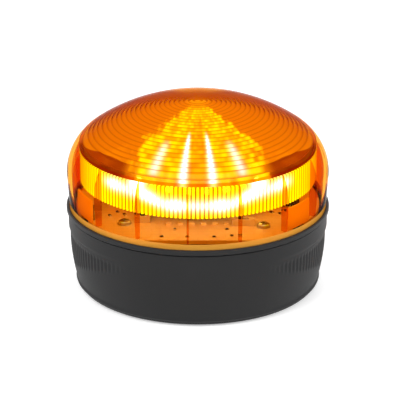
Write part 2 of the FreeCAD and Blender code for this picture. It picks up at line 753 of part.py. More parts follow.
def build_block(label, x, y, length, width, height, bottom=board_top):
    """A square-edged component that stands on the board."""
    body = new_body(label)
    outline = new_sketch(body, label + "_outline", height=bottom)
    draw_box(outline, x - length / 2, x + length / 2, y - width / 2, y + width / 2)
    pad(body, label + "_pad", outline, height)
    return body


def build_mode_button():
    """The push-button's square body with its round well, and the cap that travels in it."""
    x, y = turned(board_radius - size("button_inset"), Size.of(0), size("button_angle").value)
    well_radius = size("button_cap_radius") + size("knob_clearance")
    well_depth = size("button_travel") + size("knob_clearance")
    body_top = board_top + size("button_body_height")
    housing = build_block("mode_button_body", x, y, size("button_body_size"), size("button_body_size"),
                          size("button_body_height"))
    well = new_sketch(housing, "button_well_outline", height=body_top)
    draw_circle(well, x, y, well_radius)
    pocket(housing, "button_well", well, size("button_travel") + size("knob_clearance") + well_depth)
    cap = new_body("mode_button_cap")
    outline = new_sketch(cap, "button_cap_outline", height=body_top - well_depth)
    draw_circle(outline, x, y, size("button_cap_radius"))
    pad(cap, "button_cap_pad", outline, size("button_cap_height"))
    top = body_top - well_depth + size("button_cap_height")
    round_edges(cap, "button_cap_edge", size("knob_clearance") * 2, level_edge(top), "Chamfer")
    return [housing, cap]


def build_power_switch():
    """The slide switch's body with its slot, and the knob that slides along it."""
    x, y = turned(board_radius - size("switch_inset"), Size.of(0), size("switch_angle").value)
    clearance = size("knob_clearance")
    slot_half_length = (size("knob_length") + size("switch_travel")) / 2 + clearance
    slot_half_width = size("knob_width") / 2 + clearance
    slot_depth = size("switch_height") / 2
    body_top = board_top + size("switch_height")
    housing = build_block("power_switch_body", x, y, size("switch_length"), size("switch_width"),
                          size("switch_height"))
    slot = new_sketch(housing, "switch_slot_outline", height=body_top)
    draw_box(slot, x - slot_half_length, x + slot_half_length, y - slot_half_width, y + slot_half_width)
    pocket(housing, "switch_slot", slot, slot_depth)
    knob_x = x - size("switch_travel") / 2
    knob_bottom = body_top - slot_depth + clearance
    knob = build_block("power_switch_knob", knob_x, y, size("knob_length"), size("knob_width"),
                       size("knob_height") - slot_depth, bottom=knob_bottom)
    return [housing, knob]


def build_round_parts(label, places, radius, height, top_edge):
    """Round components that stand on the board."""
    body = new_body(label)
    outline = new_sketch(body, label + "_outlines", height=board_top)
    for x, y in places:
        draw_circle(outline, x, y, radius)
    pad(body, label + "_pads", outline, height)
    round_edges(body, label + "_top_edge", top_edge, level_edge(board_top + height), "Chamfer")
    return body


def build_control_chips():
    """The controller and the driver chip, on the left and right of the board."""
    body = new_body("control_chips")
    outline = new_sketch(body, "chip_outlines", height=board_top)
    half = size("chip_size") / 2
    for side in (-1, 1):
        x = (board_radius - size("chip_inset")) * side
        draw_box(outline, x - half, x + half, -half - half * side, half - half * side)
    pad(body, "chip_pads", outline, size("chip_height"))
    return body


# ---------------------------------------------------------------------------------------------------
# Light engine
# ---------------------------------------------------------------------------------------------------
def draw_polygon(sketch, inner_radius):
    draw_outline(sketch, polygon_corners(inner_radius, count("column_count")))


def build_led_carrier():
    """The many-sided column that holds the LED boards, on a narrower neck with three screw feet."""
    body = new_body("led_carrier")
    neck = new_sketch(body, "neck_outline", height=board_top)
    draw_polygon(neck, size("neck_radius"))
    pad(body, "carrier_neck", neck, size("neck_height"))
    flange = new_sketch(body, "flange_outline", height=carrier_bottom)
    draw_polygon(flange, flange_radius)
    pad(body, "carrier_flange_plate", flange, size("carrier_flange"))
    column = new_sketch(body, "column_outline", height=flange_top)
    draw_polygon(column, size("carrier_radius"))
    pad(body, "carrier_column", column, size("column_height"))

    hollow = new_sketch(body, "column_hollow_outline", height=carrier_top)
    draw_polygon(hollow, carrier_inner)
    pocket(body, "column_hollow", hollow, size("column_height"))
    neck_hollow = new_sketch(body, "neck_hollow_outline", height=flange_top)
    draw_polygon(neck_hollow, size("neck_radius") - size("carrier_wall"))
    pocket(body, "neck_hollow", neck_hollow)

    foot = new_sketch(body, "foot_outline", height=board_top)
    half = size("carrier_foot_size") / 2
    foot_ring = size("neck_radius") - size("foot_inset")
    draw_box(foot, foot_ring - half, size("neck_radius") - size("carrier_wall") / 2, -half, half)
    foot_pad = pad(body, "carrier_foot", foot, size("carrier_foot_height"))
    pattern(body, "carrier_feet", [foot_pad], size("carrier_screw_count"))
    foot_holes = new_sketch(body, "foot_hole_outlines", height=board_top + size("carrier_foot_height"))
    for x, y in carrier_screw_places:
        draw_circle(foot_holes, x, y, screw_hole)
    pocket(body, "foot_holes", foot_holes)

    boss = new_sketch(body, "cap_boss_outlines", height=flange_top)
    for x, y in cap_screw_places:
        draw_circle(boss, x, y, size("cap_boss_radius"))
    pad(body, "cap_bosses", boss, size("column_height"))
    boss_holes = new_sketch(body, "cap_boss_hole_outlines", height=carrier_top)
    for x, y in cap_screw_places:
        draw_circle(boss_holes, x, y, screw_hole)
    pocket(body, "cap_boss_holes", boss_holes, size("cap_screw_length") + 1)
    return body


def build_carrier_cap():
    """The lid that closes the column and holds the tops of the LED boards."""
    body = new_body("carrier_cap")
    outline = new_sketch(body, "cap_outline", height=carrier_top)
    draw_polygon(outline, flange_radius)
    pad(body, "cap_plate", outline, size("cap_thickness"))
    holes = new_sketch(body, "cap_hole_outlines", height=carrier_top + size("cap_thickness"))
    for x, y in cap_screw_places:
        draw_circle(holes, x, y, screw_hole)
    pocket(body, "cap_holes", holes)
    return body


def build_led_column(number):
    """One upright LED board with its four LEDs, turned to its face of the column."""
    sides = count("column_count")
    angle = 360.0 * (number - 0.5) / sides
    placement = FreeCAD.Placement(Vector(0, 0, 0), FreeCAD.Rotation(Z_AXIS, angle))
    half_width = size("carrier_radius") * math.tan(math.pi / sides) - size("led_board_mitre")
    board = new_body("led_board_%02d" % number)
    outline = new_sketch(board, "led_board_outline_%02d" % number, "YZ_Plane", height=size("carrier_radius"))
    draw_box(outline, -half_width, half_width, flange_top, carrier_top - size("led_board_gap"))
    pad(board, "led_board_pad_%02d" % number, outline, size("led_board_thickness"))
    board.Placement = placement

    leds = new_body("led_pair_%02d" % number)
    cases = new_sketch(leds, "led_outlines_%02d" % number, "YZ_Plane", height=led_face)
    windows = new_sketch(leds, "led_window_outlines_%02d" % number, "YZ_Plane",
                         height=led_face + size("led_height"))
    half = size("led_size") / 2
    pane = size("led_window") / 2
    low_row = flange_top + size("led_row_rise")
    for level in (low_row, low_row + size("led_row_pitch")):
        for side in (-size("led_side_offset"), size("led_side_offset")):
            draw_box(cases, side - half, side + half, level - half, level + half)
            draw_box(windows, side - pane, side + pane, level - pane, level + pane)
    pad(leds, "led_pads_%02d" % number, cases, size("led_height"))
    pocket(leds, "led_windows_%02d" % number, windows, size("led_window_depth"))
    leds.Placement = placement
    return [board, leds]


# ---------------------------------------------------------------------------------------------------
# Battery
# ---------------------------------------------------------------------------------------------------
def build_battery_tray():
    """The tray under the deck, open below, with four screw tabs."""
    body = new_body("battery_tray")
    outer = new_sketch(body, "tray_outline", height=tray_bottom)
    draw_box(outer, -tray_half_width, tray_half_width, -tray_half_length, tray_half_length)
    pad(body, "tray_block", outer, size("tray_depth"))
    room = new_sketch(body, "tray_room_outline", height=tray_bottom)
    inner_half_width = tray_half_width - size("tray_wall")
    draw_box(room, -inner_half_width, inner_half_width, -tray_inner_length, tray_inner_length)
    pocket(body, "tray_room", room, size("tray_depth") - size("tray_roof"), upwards=True)
    tabs = new_sketch(body, "tray_tab_outlines", height=tray_ceiling)
    half = size("tray_tab_width") / 2
    for x, y in tray_screw_places:
        far = y + size("tray_tab_length") / 2 * (1 if y.value > 0 else -1)
        near = (tray_half_length - size("tray_wall") / 2) * (1 if y.value > 0 else -1)
        low, high = (near, far) if y.value > 0 else (far, near)
        draw_box(tabs, x - half, x + half, low, high)
    pad(body, "tray_tabs", tabs, size("tray_roof"))
    holes = new_sketch(body, "tray_hole_outlines", height=deck_bottom)
    for x, y in tray_screw_places:
        draw_circle(holes, x, y, screw_hole)
    for x, y in pin_places:
        draw_circle(holes, x, y, pin_hole)
    pocket(body, "tray_holes", holes, size("tray_roof"))
    return body


def cell_x(index):
    return cell_pitch * (index - (count("cell_count") - 1) / 2.0)


def cell_direction(index):
    """+1 where the cell's button end points to the back, -1 where it points to the front."""
    return 1 if index % 2 == 0 else -1


def build_battery_cell(index):
    """One cylindrical cell with its raised button."""
    number = index + 1
    body = new_body("battery_cell_%d" % number)
    can = new_sketch(body, "can_outline_%d" % number, "XZ_Plane", height=-cell_length / 2)
    draw_circle(can, 0, 0, size("cell_radius"))
    pad(body, "can_%d" % number, can, cell_length - size("cell_nub_length"))
    nub = new_sketch(body, "nub_outline_%d" % number, "XZ_Plane",
                     height=cell_length / 2 - size("cell_nub_length"))
    draw_circle(nub, 0, 0, size("cell_nub_radius"))
    pad(body, "nub_%d" % number, nub, size("cell_nub_length"))
    turn = FreeCAD.Rotation(Z_AXIS, 180 if cell_direction(index) > 0 else 0)
    body.Placement = FreeCAD.Placement(Vector(cell_x(index).value, 0, cell_level.value), turn)
    return body


def build_contacts(label, springs):
    """A plate against the tray's end wall for each cell, bent into a leaf at the spring ends."""
    body = new_body(label)
    thickness = size("contact_thickness")
    height = size("cell_radius")
    for index in range(count("cell_count")):
        end = -cell_direction(index) if springs else cell_direction(index)
        wall = tray_inner_length * end
        gap = size("contact_room")
        leaf = [
            (0, -height),
            (thickness, -height),
            (thickness, -height * 0.7),
            (gap, -height * 0.1),
            (gap, height * 0.15),
            (thickness * 2.4, height * 0.6),
            (thickness * 1.5, height * 0.6 - thickness / 2),
            (gap - thickness, 0),
            (thickness, -height * 0.4),
            (thickness, height),
            (0, height),
        ]
        dimple = [
            (0, -height),
            (thickness, -height),
            (thickness, -height * 0.4),
            (gap, -height * 0.2),
            (gap, height * 0.2),
            (thickness, height * 0.4),
            (thickness, height * 0.8),
            (0, height * 0.8),
        ]
        outline = new_sketch(body, "%s_outline_%d" % (label, index + 1), "YZ_Plane",
                             height=cell_x(index) - size("contact_width") / 2)
        corners = [(wall - y * end, cell_level + z) for y, z in (leaf if springs else dimple)]
        draw_outline(outline, corners)
        pad(body, "%s_pad_%d" % (label, index + 1), outline, size("contact_width"))
    return body


def build_power_pins():
    """Two pins that carry the battery's current up through the deck to the board."""
    body = new_body("power_pins")
    bottom = tray_ceiling - size("pin_reach")
    outline = new_sketch(body, "pin_outlines", height=bottom)
    for x, y in pin_places:
        draw_circle(outline, x, y, size("pin_radius"))
    pad(body, "pin_pads", outline, board_top + size("pin_reach") - bottom)
    return body


# ---------------------------------------------------------------------------------------------------
# Assembly
# ---------------------------------------------------------------------------------------------------
def build_all():
    pieces = [
        build_base_housing(),
        build_mounting_gasket(),
        build_head_chassis(),
        build_head_seal(),
        build_lens_seal(),
        build_lens_dome(),
        build_prism_ring(),
        build_deck_board(),
        build_status_lamps(),
        build_control_chips(),
        build_block("service_header", size("header_inset") - board_radius, -size("header_y"),
                    size("header_width"), size("header_length"), size("header_height")),
    ]
    pieces += build_mode_button()
    pieces += build_power_switch()
    coil_ring = board_radius - size("coil_inset")
    coil_places = [turned(coil_ring, coil_ring * 0, angle) for angle in (78, 102)]
    pieces.append(build_round_parts("driver_coils", coil_places, size("coil_radius"),
                                    size("coil_height"), size("coil_radius") * 0.2))
    capacitor_ring = board_radius - size("capacitor_inset")
    capacitor_places = [turned(capacitor_ring, capacitor_ring * 0, angle) for angle in (144, 158)]
    pieces.append(build_round_parts("board_capacitors", capacitor_places, size("capacitor_radius"),
                                    size("capacitor_height"), size("capacitor_radius") * 0.15))
    pieces.append(screws("board_screws", board_screw_places, board_top, size("screw_grip")))
    pieces.append(screws("carrier_screws", carrier_screw_places, board_top + size("carrier_foot_height"),
                         size("screw_grip") + size("carrier_foot_height")))
    pieces.append(build_led_carrier())
    pieces.append(build_carrier_cap())
    pieces.append(screws("cap_screws", cap_screw_places, carrier_top + size("cap_thickness"),
                         size("cap_screw_length")))
    for number in range(1, count("column_count") + 1):
        pieces += build_led_column(number)
    pieces.append(build_battery_tray())
    pieces += [build_battery_cell(index) for index in range(count("cell_count"))]
    pieces.append(build_contacts("spring_contacts", springs=True))
    pieces.append(build_contacts("button_contacts", springs=False))
    pieces.append(screws("tray_screws", tray_screw_places, tray_ceiling, size("tray_screw_length"),
                         upside_down=True))
    pieces.append(build_power_pins())
    return pieces


def check_and_write(pieces):
    """Stop if anything failed to build, then write one STEP file for each piece."""
    document.recompute()
    for item in document.Objects:
        if "Invalid" in item.State or "Error" in item.State:
            raise RuntimeError("%s did not build: %s" % (item.Name, item.State))
    for piece in pieces:
        if piece.Shape.isNull() or not piece.Shape.isValid():
            raise RuntimeError("%s has no valid shape" % piece.Label)
        if piece.Shape.Volume <= 0:
            raise RuntimeError("%s has no volume" % piece.Label)
    os.makedirs("parts", exist_ok=True)
    for piece in pieces:
        piece.Shape.exportStep(os.path.join("parts", piece.Label + ".step"))
        print("%-20s %2d solids %10.1f mm3" % (piece.Label, len(piece.Shape.Solids), piece.Shape.Volume))


check_and_write(build_all())
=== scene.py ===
"""Amber LED beacon: the finished looks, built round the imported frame.

Every piece is in metres in the frame's own axes: +Z up, front towards -Y, origin under the base.
"""
import math

import bmesh
import bpy
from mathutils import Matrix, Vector


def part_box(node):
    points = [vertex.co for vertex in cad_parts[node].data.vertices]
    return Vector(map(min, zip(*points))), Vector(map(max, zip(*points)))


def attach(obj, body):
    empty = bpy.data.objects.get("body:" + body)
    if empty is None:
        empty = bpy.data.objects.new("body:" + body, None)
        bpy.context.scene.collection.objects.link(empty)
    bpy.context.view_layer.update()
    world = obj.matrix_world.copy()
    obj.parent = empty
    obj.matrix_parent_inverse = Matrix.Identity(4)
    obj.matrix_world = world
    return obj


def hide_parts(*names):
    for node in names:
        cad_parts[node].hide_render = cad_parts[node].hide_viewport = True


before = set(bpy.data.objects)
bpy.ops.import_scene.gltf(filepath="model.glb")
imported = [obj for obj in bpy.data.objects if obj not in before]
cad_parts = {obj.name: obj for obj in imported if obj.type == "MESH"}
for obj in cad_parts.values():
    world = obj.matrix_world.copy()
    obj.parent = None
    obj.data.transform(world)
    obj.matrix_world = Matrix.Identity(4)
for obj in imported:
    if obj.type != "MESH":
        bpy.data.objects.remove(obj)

bl_info = {
    "name": "Amber LED Beacon",
    "version": (1, 0, 0),
    "blender": (4, 5, 0),
    "location": "View3D > Sidebar > Beacon",
    "description": "Finished surfaces, lens optics and light of a battery-powered amber beacon",
    "category": "Add Mesh",
}

MM = 0.001
UP = Vector((0, 0, 1))
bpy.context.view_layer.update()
BASE_LOW, BASE_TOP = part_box("base_housing")
LENS_FOOT, LENS_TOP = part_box("lens_dome")
FLUTES_LOW, FLUTES_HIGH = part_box("prism_ring")
BOARD_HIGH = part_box("deck_board")[1]
# Where the snap hooks stand, in degrees from the front
HOOK_AZIMUTHS = (54.0, 174.0, 294.0)


# ---------------------------------------------------------------------------------------------------
# Sizes and colours that a user would change
# ---------------------------------------------------------------------------------------------------
def length(name, description, default):
    return bpy.props.FloatProperty(name=name, description=description, default=default,
                                   min=0.0, unit="LENGTH", precision=5)


def angle(name, description, degrees):
    return bpy.props.FloatProperty(name=name, description=description, default=math.radians(degrees),
                                   unit="ROTATION", subtype="ANGLE")


def colour(name, description, default):
    return bpy.props.FloatVectorProperty(name=name, description=description, default=default, size=3,
                                         min=0.0, max=1.0, subtype="COLOR")


class BeaconSizes(bpy.types.PropertyGroup):
    base_foot_radius: length("Foot radius", "Radius of the base where it meets the ground", 45.9 * MM)
    base_taper_top: length("Taper top", "Height where the base's side turns upright", 21.0 * MM)
    base_foot_round: length("Foot rounding", "Radius of the rounded foot edge", 2.0 * MM)
    base_wall: length("Base wall", "Thickness of the base's wall", 2.5 * MM)
    base_floor: length("Base floor", "Thickness of the base's floor", 3.0 * MM)
    edge_break: length("Edge break", "Width of the bevel at the base's upper edge", 0.3 * MM)
    grip_top: length("Grip top", "Height of the upper edge of each finger grip", 24.0 * MM)
    grip_depth: length("Grip depth", "Depth of the shallow hollow of each grip", 0.6 * MM)
    grip_half_angle: angle("Grip half angle", "Half of the angle that a grip spans", 58.0)
    rib_pitch: angle("Rib pitch", "Angle from one grip rib to the next", 2.5)
    rib_depth: length("Rib depth", "Depth of the grooves between the grip ribs", 0.35 * MM)
    rib_top_drop: length("Rib top drop", "Room between the grip's upper edge and its ribs", 1.8 * MM)
    rib_bottom: length("Rib bottom", "Height where the ribs in the middle of a grip start", 7.0 * MM)
    rib_bottom_rise: length("Rib bottom rise", "How much higher the ribs at a grip's ends start", 12.5 * MM)
    gasket_inner: length("Gasket inner radius", "Inner radius of the gasket's groove", 40.6 * MM)
    gasket_outer: length("Gasket outer radius", "Outer radius of the gasket's groove", 43.0 * MM)
    gasket_high: length("Gasket top", "Height of the groove's roof above the ground", 1.5 * MM)
    fixing_ring: length("Fixing ring", "Radius of the circle that the fixing holes lie on", 37.5 * MM)
    fixing_hole_radius: length("Fixing hole", "Radius of the fixing holes", 2.25 * MM)
    fixing_boss_radius: length("Fixing boss", "Radius of the bosses round them", 4.5 * MM)
    fixing_boss_height: length("Fixing boss height", "Height of the bosses above the floor", 2.0 * MM)
    floor_seam: length("Floor seam", "Room between the groove and the seam of floor and wall", 0.3 * MM)
    lens_foot_radius: length("Lens foot radius", "Outer radius of the lens at its foot", 48.8 * MM)
    lens_wall: length("Lens wall", "Thickness of the lens", 1.8 * MM)
    frosted_foot: length("Frosted foot", "Height of the unpolished band at the lens's foot", 2.8 * MM)
    pad_half_angle: angle("Pad half angle", "Half of the angle that a catch pad spans", 8.5)
    pad_thickness: length("Pad thickness", "Thickness of a catch pad", 0.75 * MM)
    pad_reach: length("Pad reach", "From the lens's inner wall to a pad's inner face", 1.05 * MM)
    pad_ring_gap: length("Pad gap", "Room between the pads and the fluted ring", 0.8 * MM)
    board_gap: length("Board gap", "Room between the board and the fins and pads above it", 0.5 * MM)
    fin_count: bpy.props.IntProperty(name="Fins", description="Ribs inside the lens's wall", default=15,
                                     min=3)
    fin_turn: angle("Fin turn", "Azimuth of the first fin from the front", -4.5)
    fin_depth: length("Fin depth", "How far the fins stand in from the lens's wall", 2.0 * MM)
    fin_thickness: length("Fin thickness", "Thickness of a fin", 0.6 * MM)
    dome_radius: length("Dome radius", "Radius of the crown of the lens", 72.3 * MM)
    dome_edge: length("Dome edge", "Radius from the axis where the crown meets the shoulder", 41.5 * MM)
    prism_edge: length("Prism edge", "Radius of the outermost prism inside the crown", 43.2 * MM)
    crown_wall: length("Crown wall", "Thickness of the lens above its prisms", 1.0 * MM)
    collar_radius: length("Collar radius", "Outer radius of the collar that hangs below the crown's edge",
                          44.7 * MM)
    collar_wall: length("Collar wall", "Thickness of that collar", 1.1 * MM)
    collar_gap: length("Collar gap", "Room between the collar and the fluted ring below it", 0.6 * MM)
    prism_depth: length("Prism depth", "Height of each prism's step", 0.9 * MM)
    prism_count: bpy.props.IntProperty(name="Prisms", description="Rings of prisms in the crown",
                                       default=24, min=4)
    ring_wall: length("Ring wall", "Thickness of the fluted ring", 2.3 * MM)
    flute_count: bpy.props.IntProperty(name="Flutes", description="Upright flutes round the inner ring",
                                       default=172, min=12)
    flute_depth: length("Flute depth", "Depth of the grooves between the flutes", 0.55 * MM)
    screw_head_radius: length("Screw head radius", "Radius of the pan heads", 2.4 * MM)
    screw_head_height: length("Screw head height", "Height of the pan heads", 1.5 * MM)
    screw_radius: length("Screw radius", "Outer radius of the screws' threads", 1.25 * MM)
    screw_pitch: length("Screw pitch", "Distance from one thread to the next", 0.6 * MM)


class BeaconColours(bpy.types.PropertyGroup):
    amber: colour("Amber", "Tint of the clear lens", (0.88, 0.41, 0.03))
    crown: colour("Crown", "Orange of the crown, where its prisms scatter the light", (0.80, 0.43, 0.02))
    frosted: colour("Frosted", "Orange of the lens's unpolished foot", (0.92, 0.42, 0.06))
    pad: colour("Pad", "Pale amber of the catch pads", (1.0, 0.86, 0.2))
    ring: colour("Ring", "Tint of the fluted ring", (1.0, 0.62, 0.10))
    # Edge-on is partly the deeper tint of the longer path through the lens and partly a painted dark outline
    # at its edges
    edge_on: colour("Edge-on", "Deep amber of the lens where it is seen edge-on", (0.42, 0.14, 0.006))
    # Groove is painted shade: it darkens the crown between its prism rings and the fluted ring between its
    # flutes
    groove: colour("Groove", "Brown of the grooves between prisms and flutes", (0.30, 0.05, 0.008))
    black: colour("Black", "Moulded black of the base and head", (0.0145, 0.0145, 0.015))
    solder_mask: colour("Solder mask", "Surface of the circuit boards", (0.80, 0.78, 0.70))


def sizes():
    return bpy.context.scene.beacon_sizes


def colours():
    return bpy.context.scene.beacon_colours


# ---------------------------------------------------------------------------------------------------
# Node trees
# ---------------------------------------------------------------------------------------------------
class Tree:
    """Adds nodes to a tree.  A value is a number, a colour or another node's socket."""

    def __init__(self, tree):
        self.tree = tree

    def node(self, kind, inputs=(), **settings):
        node = self.tree.nodes.new(kind)
        for name, value in settings.items():
            setattr(node, name, value)
        for key, value in dict(inputs).items():
            self.feed(node.inputs[key], value)
        return node

    def feed(self, socket, value):
        if isinstance(value, bpy.types.NodeSocket):
            self.tree.links.new(value, socket)
        else:
            socket.default_value = value

    def math(self, operation, *values):
        return self.node("ShaderNodeMath", enumerate(values), operation=operation).outputs[0]

    def vector(self, operation, *values):
        return self.node("ShaderNodeVectorMath", enumerate(values), operation=operation).outputs[0]

    def scaled(self, vector, factor):
        return self.node("ShaderNodeVectorMath", {0: vector, "Scale": factor}, operation="SCALE").outputs[0]

    def step(self, value, low, high):
        """0 at low, 1 at high, smooth between them; low may be the larger of the two."""
        return self.node("ShaderNodeMapRange", {"Value": value, "From Min": low, "From Max": high},
                         interpolation_type="SMOOTHSTEP").outputs[0]

    def bump_at(self, value, centre, width):
        """A smooth hump of height 1 round a centre."""
        reach = self.math("DIVIDE", self.math("SUBTRACT", value, centre), width)
        return self.math("EXPONENT", self.math("MULTIPLY", self.math("MULTIPLY", reach, reach), -1.0))

    def product(self, *values):
        result = values[0]
        for value in values[1:]:
            result = self.math("MULTIPLY", result, value)
        return result

    def total(self, *values):
        result = values[0]
        for value in values[1:]:
            result = self.math("ADD", result, value)
        return result

    def mix(self, factor, first, second):
        node = self.node("ShaderNodeMix", data_type="RGBA")
        self.feed(node.inputs[0], factor)
        self.feed(node.inputs[6], first)
        self.feed(node.inputs[7], second)
        return node.outputs[2]

    def group(self, tree, **inputs):
        node = self.node("ShaderNodeGroup", node_tree=tree)
        for name, value in inputs.items():
            self.feed(node.inputs[name], value)
        return node


def rgba(values):
    return (*values, 1.0)


def shader_group(name, inputs, outputs, fill):
    """A shader node group, made once.  fill(tree, inputs) returns its outputs in order."""
    if name in bpy.data.node_groups:
        return bpy.data.node_groups[name]
    group = bpy.data.node_groups.new(name, "ShaderNodeTree")
    for label, kind in inputs:
        group.interface.new_socket(label, in_out="INPUT", socket_type="NodeSocket" + kind)
    for label, kind in outputs:
        group.interface.new_socket(label, in_out="OUTPUT", socket_type="NodeSocket" + kind)
    tree = Tree(group)
    start = tree.node("NodeGroupInput")
    end = tree.node("NodeGroupOutput")
    for index, socket in enumerate(fill(tree, start.outputs)):
        group.links.new(socket, end.inputs[index])
    return group


def polar_place():
    """Azimuth from the front in degrees, either way, and radius and height in millimetres."""
    def fill(tree, inputs):
        place = tree.node("ShaderNodeSeparateXYZ", {0: inputs["Place"]})
        x, y, z = place.outputs
        turn = tree.math("ARCTAN2", x, tree.math("MULTIPLY", y, -1.0))
        azimuth = tree.math("MULTIPLY", turn, math.degrees(1.0))
        radius = tree.math("SQRT", tree.total(tree.product(x, x), tree.product(y, y)))
        return [azimuth, tree.math("MULTIPLY", radius, 1000.0), tree.math("MULTIPLY", z, 1000.0)]

    return shader_group("Polar place", [("Place", "Vector")],
                        [("Azimuth", "Float"), ("Radius", "Float"), ("Height", "Float")], fill)


def moulded_grain():
    """Fine spark-eroded grain with slow clouds: a height, and a tone round 0.5."""
    def fill(tree, inputs):
        fine = tree.node("ShaderNodeTexNoise", {"Vector": inputs["Place"], "Scale": inputs["Scale"],
                                                "Detail": 3.0, "Roughness": 0.6})
        clouds = tree.node("ShaderNodeTexNoise", {"Vector": inputs["Place"], "Scale": 45.0, "Detail": 2.0})
        tone = tree.total(tree.product(fine.outputs[0], 0.35), tree.product(clouds.outputs[0], 0.65))
        return [fine.outputs[0], tone]

    return shader_group("Moulded grain", [("Place", "Vector"), ("Scale", "Float")],
                        [("Height", "Float"), ("Tone", "Float")], fill)


def edge_wear():
    """A mask of worn outer edges, broken up by noise."""
    def fill(tree, inputs):
        soft = tree.node("ShaderNodeBevel", {"Radius": inputs["Width"]}, samples=4)
        normal = tree.node("ShaderNodeNewGeometry").outputs["Normal"]
        facing = tree.node("ShaderNodeVectorMath", {0: soft.outputs[0], 1: normal}, operation="DOT_PRODUCT")
        edge = tree.step(facing.outputs["Value"], 0.995, 0.9)
        noise = tree.node("ShaderNodeTexNoise", {"Vector": inputs["Place"], "Scale": 260.0, "Detail": 3.0})
        return [tree.product(edge, tree.step(noise.outputs[0], 0.35, 0.65))]

    return shader_group("Edge wear", [("Place", "Vector"), ("Width", "Float")], [("Mask", "Float")], fill)


def crown_fan(tree, azimuth, radius, uneven):
    """Painted light: the yellow fan at the front, ragged at its sides, with a dimmer gap down its middle."""
    half_angle = tree.total(27.0, tree.product(tree.step(radius, 10.0, 20.0), 4.0),
                            tree.product(tree.step(radius, 24.0, 30.0), 5.0),
                            tree.product(tree.step(radius, 32.0, 40.0), -6.0), tree.product(uneven, 8.0))
    fan = tree.product(tree.step(tree.math("SUBTRACT", azimuth, half_angle), 3.0, -5.0),
                       tree.step(radius, 3.0, 11.0), tree.step(radius, 45.6, 45.0),
                       tree.total(tree.product(uneven, 0.8), 0.35))
    gap = tree.product(tree.step(azimuth, 5.6, 3.2), tree.step(radius, 11.0, 19.0))
    return tree.product(fan, tree.math("SUBTRACT", 1.0, tree.product(gap, 0.5)))


def crown_back_glow(tree, azimuth, radius):
    """Painted light: the glow behind the crown's middle, and the faint one in the middle itself."""
    behind = tree.product(tree.step(azimuth, 146.0, 166.0), tree.step(radius, 8.0, 24.0),
                          tree.step(radius, 38.0, 28.0), 1.2)
    middle = tree.product(tree.step(radius, 6.0, 1.0), 0.3)
    return tree.math("MAXIMUM", behind, middle)


def crown_spokes(tree, azimuth, radius):
    """Painted light: two lit spokes at each side of the front, the outer ones fainter."""
    inner = tree.product(tree.bump_at(azimuth, 7.2, tree.product(radius, 0.041)),
                         tree.step(radius, 23.0, 29.0), tree.step(radius, 47.5, 45.0))
    outer = tree.product(tree.bump_at(azimuth, 22.6, 2.2), tree.step(radius, 28.0, 34.0),
                         tree.step(radius, 43.6, 41.6), 0.45)
    return tree.total(inner, outer)


def crown_crescent_shade(tree, azimuth, radius):
    """Painted shade: the dark crescents that the crown's outer edge shows either side of the fan."""
    inside = tree.math("SUBTRACT", 43.4, tree.product(tree.bump_at(azimuth, 50.0, 20.0), 2.8))
    return tree.product(tree.step(tree.math("SUBTRACT", radius, inside), -0.2, 0.2),
                        tree.step(azimuth, 33.0, 42.0), tree.step(azimuth, 100.0, 86.0), 0.9)


def crown_light():
    """Painted light in the crown's prisms, broken by their rings, and painted shade for what stays dark.

    Angles are in degrees from the front and lengths in millimetres.
    """
    def fill(tree, inputs):
        azimuth = tree.math("ABSOLUTE", inputs["Azimuth"])
        radius = inputs["Radius"]
        ring = tree.math("DIVIDE", radius, inputs["Pitch"])
        phase = tree.math("FRACT", ring)
        line = tree.product(tree.step(phase, 0.0, 0.26), tree.step(phase, 1.0, 0.66))
        cell = tree.node("ShaderNodeCombineXYZ", {0: tree.product(inputs["Azimuth"], 0.16),
                                                  1: tree.product(tree.math("FLOOR", ring), 3.7)})
        noise = tree.node("ShaderNodeTexNoise", {"Vector": cell.outputs[0], "Scale": 1.0, "Detail": 1.0})
        uneven = tree.step(noise.outputs[0], 0.3, 0.7)
        fan = tree.math("MAXIMUM", crown_fan(tree, azimuth, radius, uneven),
                        crown_back_glow(tree, azimuth, radius))
        fan = tree.product(fan, tree.total(tree.product(line, 0.8), 0.2))
        spokes = tree.product(crown_spokes(tree, azimuth, radius),
                              tree.total(tree.product(line, 0.7), 0.3))
        light = tree.vector("ADD", tree.scaled((1.0, 0.95, 0.0), fan), tree.scaled((1.6, 2.2, 11.0), spokes))
        # Painted shade between the prism rings, towards the crown's edge
        groove = tree.product(tree.math("SUBTRACT", 1.0, line), tree.step(radius, 44.2, 43.0), 0.42)
        return [light, tree.math("MAXIMUM", groove, crown_crescent_shade(tree, azimuth, radius))]

    return shader_group("Crown light", [("Azimuth", "Float"), ("Radius", "Float"), ("Pitch", "Float")],
                        [("Light", "Color"), ("Shade", "Float")], fill)


def ring_band(tree, azimuth, height, crest):
    """Painted light: the white band across the flutes, with its brighter spots and the knots above it."""
    level = tree.total(47.3, tree.product(tree.step(azimuth, 14.0, 28.0), 3.0),
                       tree.product(tree.step(azimuth, 28.0, 46.0), 1.0))
    band = tree.product(tree.bump_at(height, level, 1.8), tree.step(azimuth, 54.0, 44.0))
    spots = tree.total(0.55, tree.bump_at(azimuth, 10.8, 3.5), tree.bump_at(azimuth, 24.5, 5.0),
                       tree.product(tree.bump_at(azimuth, 44.0, 3.5), 0.7))
    knots = tree.product(tree.bump_at(azimuth, 30.5, 3.2), tree.step(height, 50.8, 53.4), 1.4)
    return tree.total(knots, tree.product(band, spots, tree.total(0.35, tree.product(crest, 0.65))))


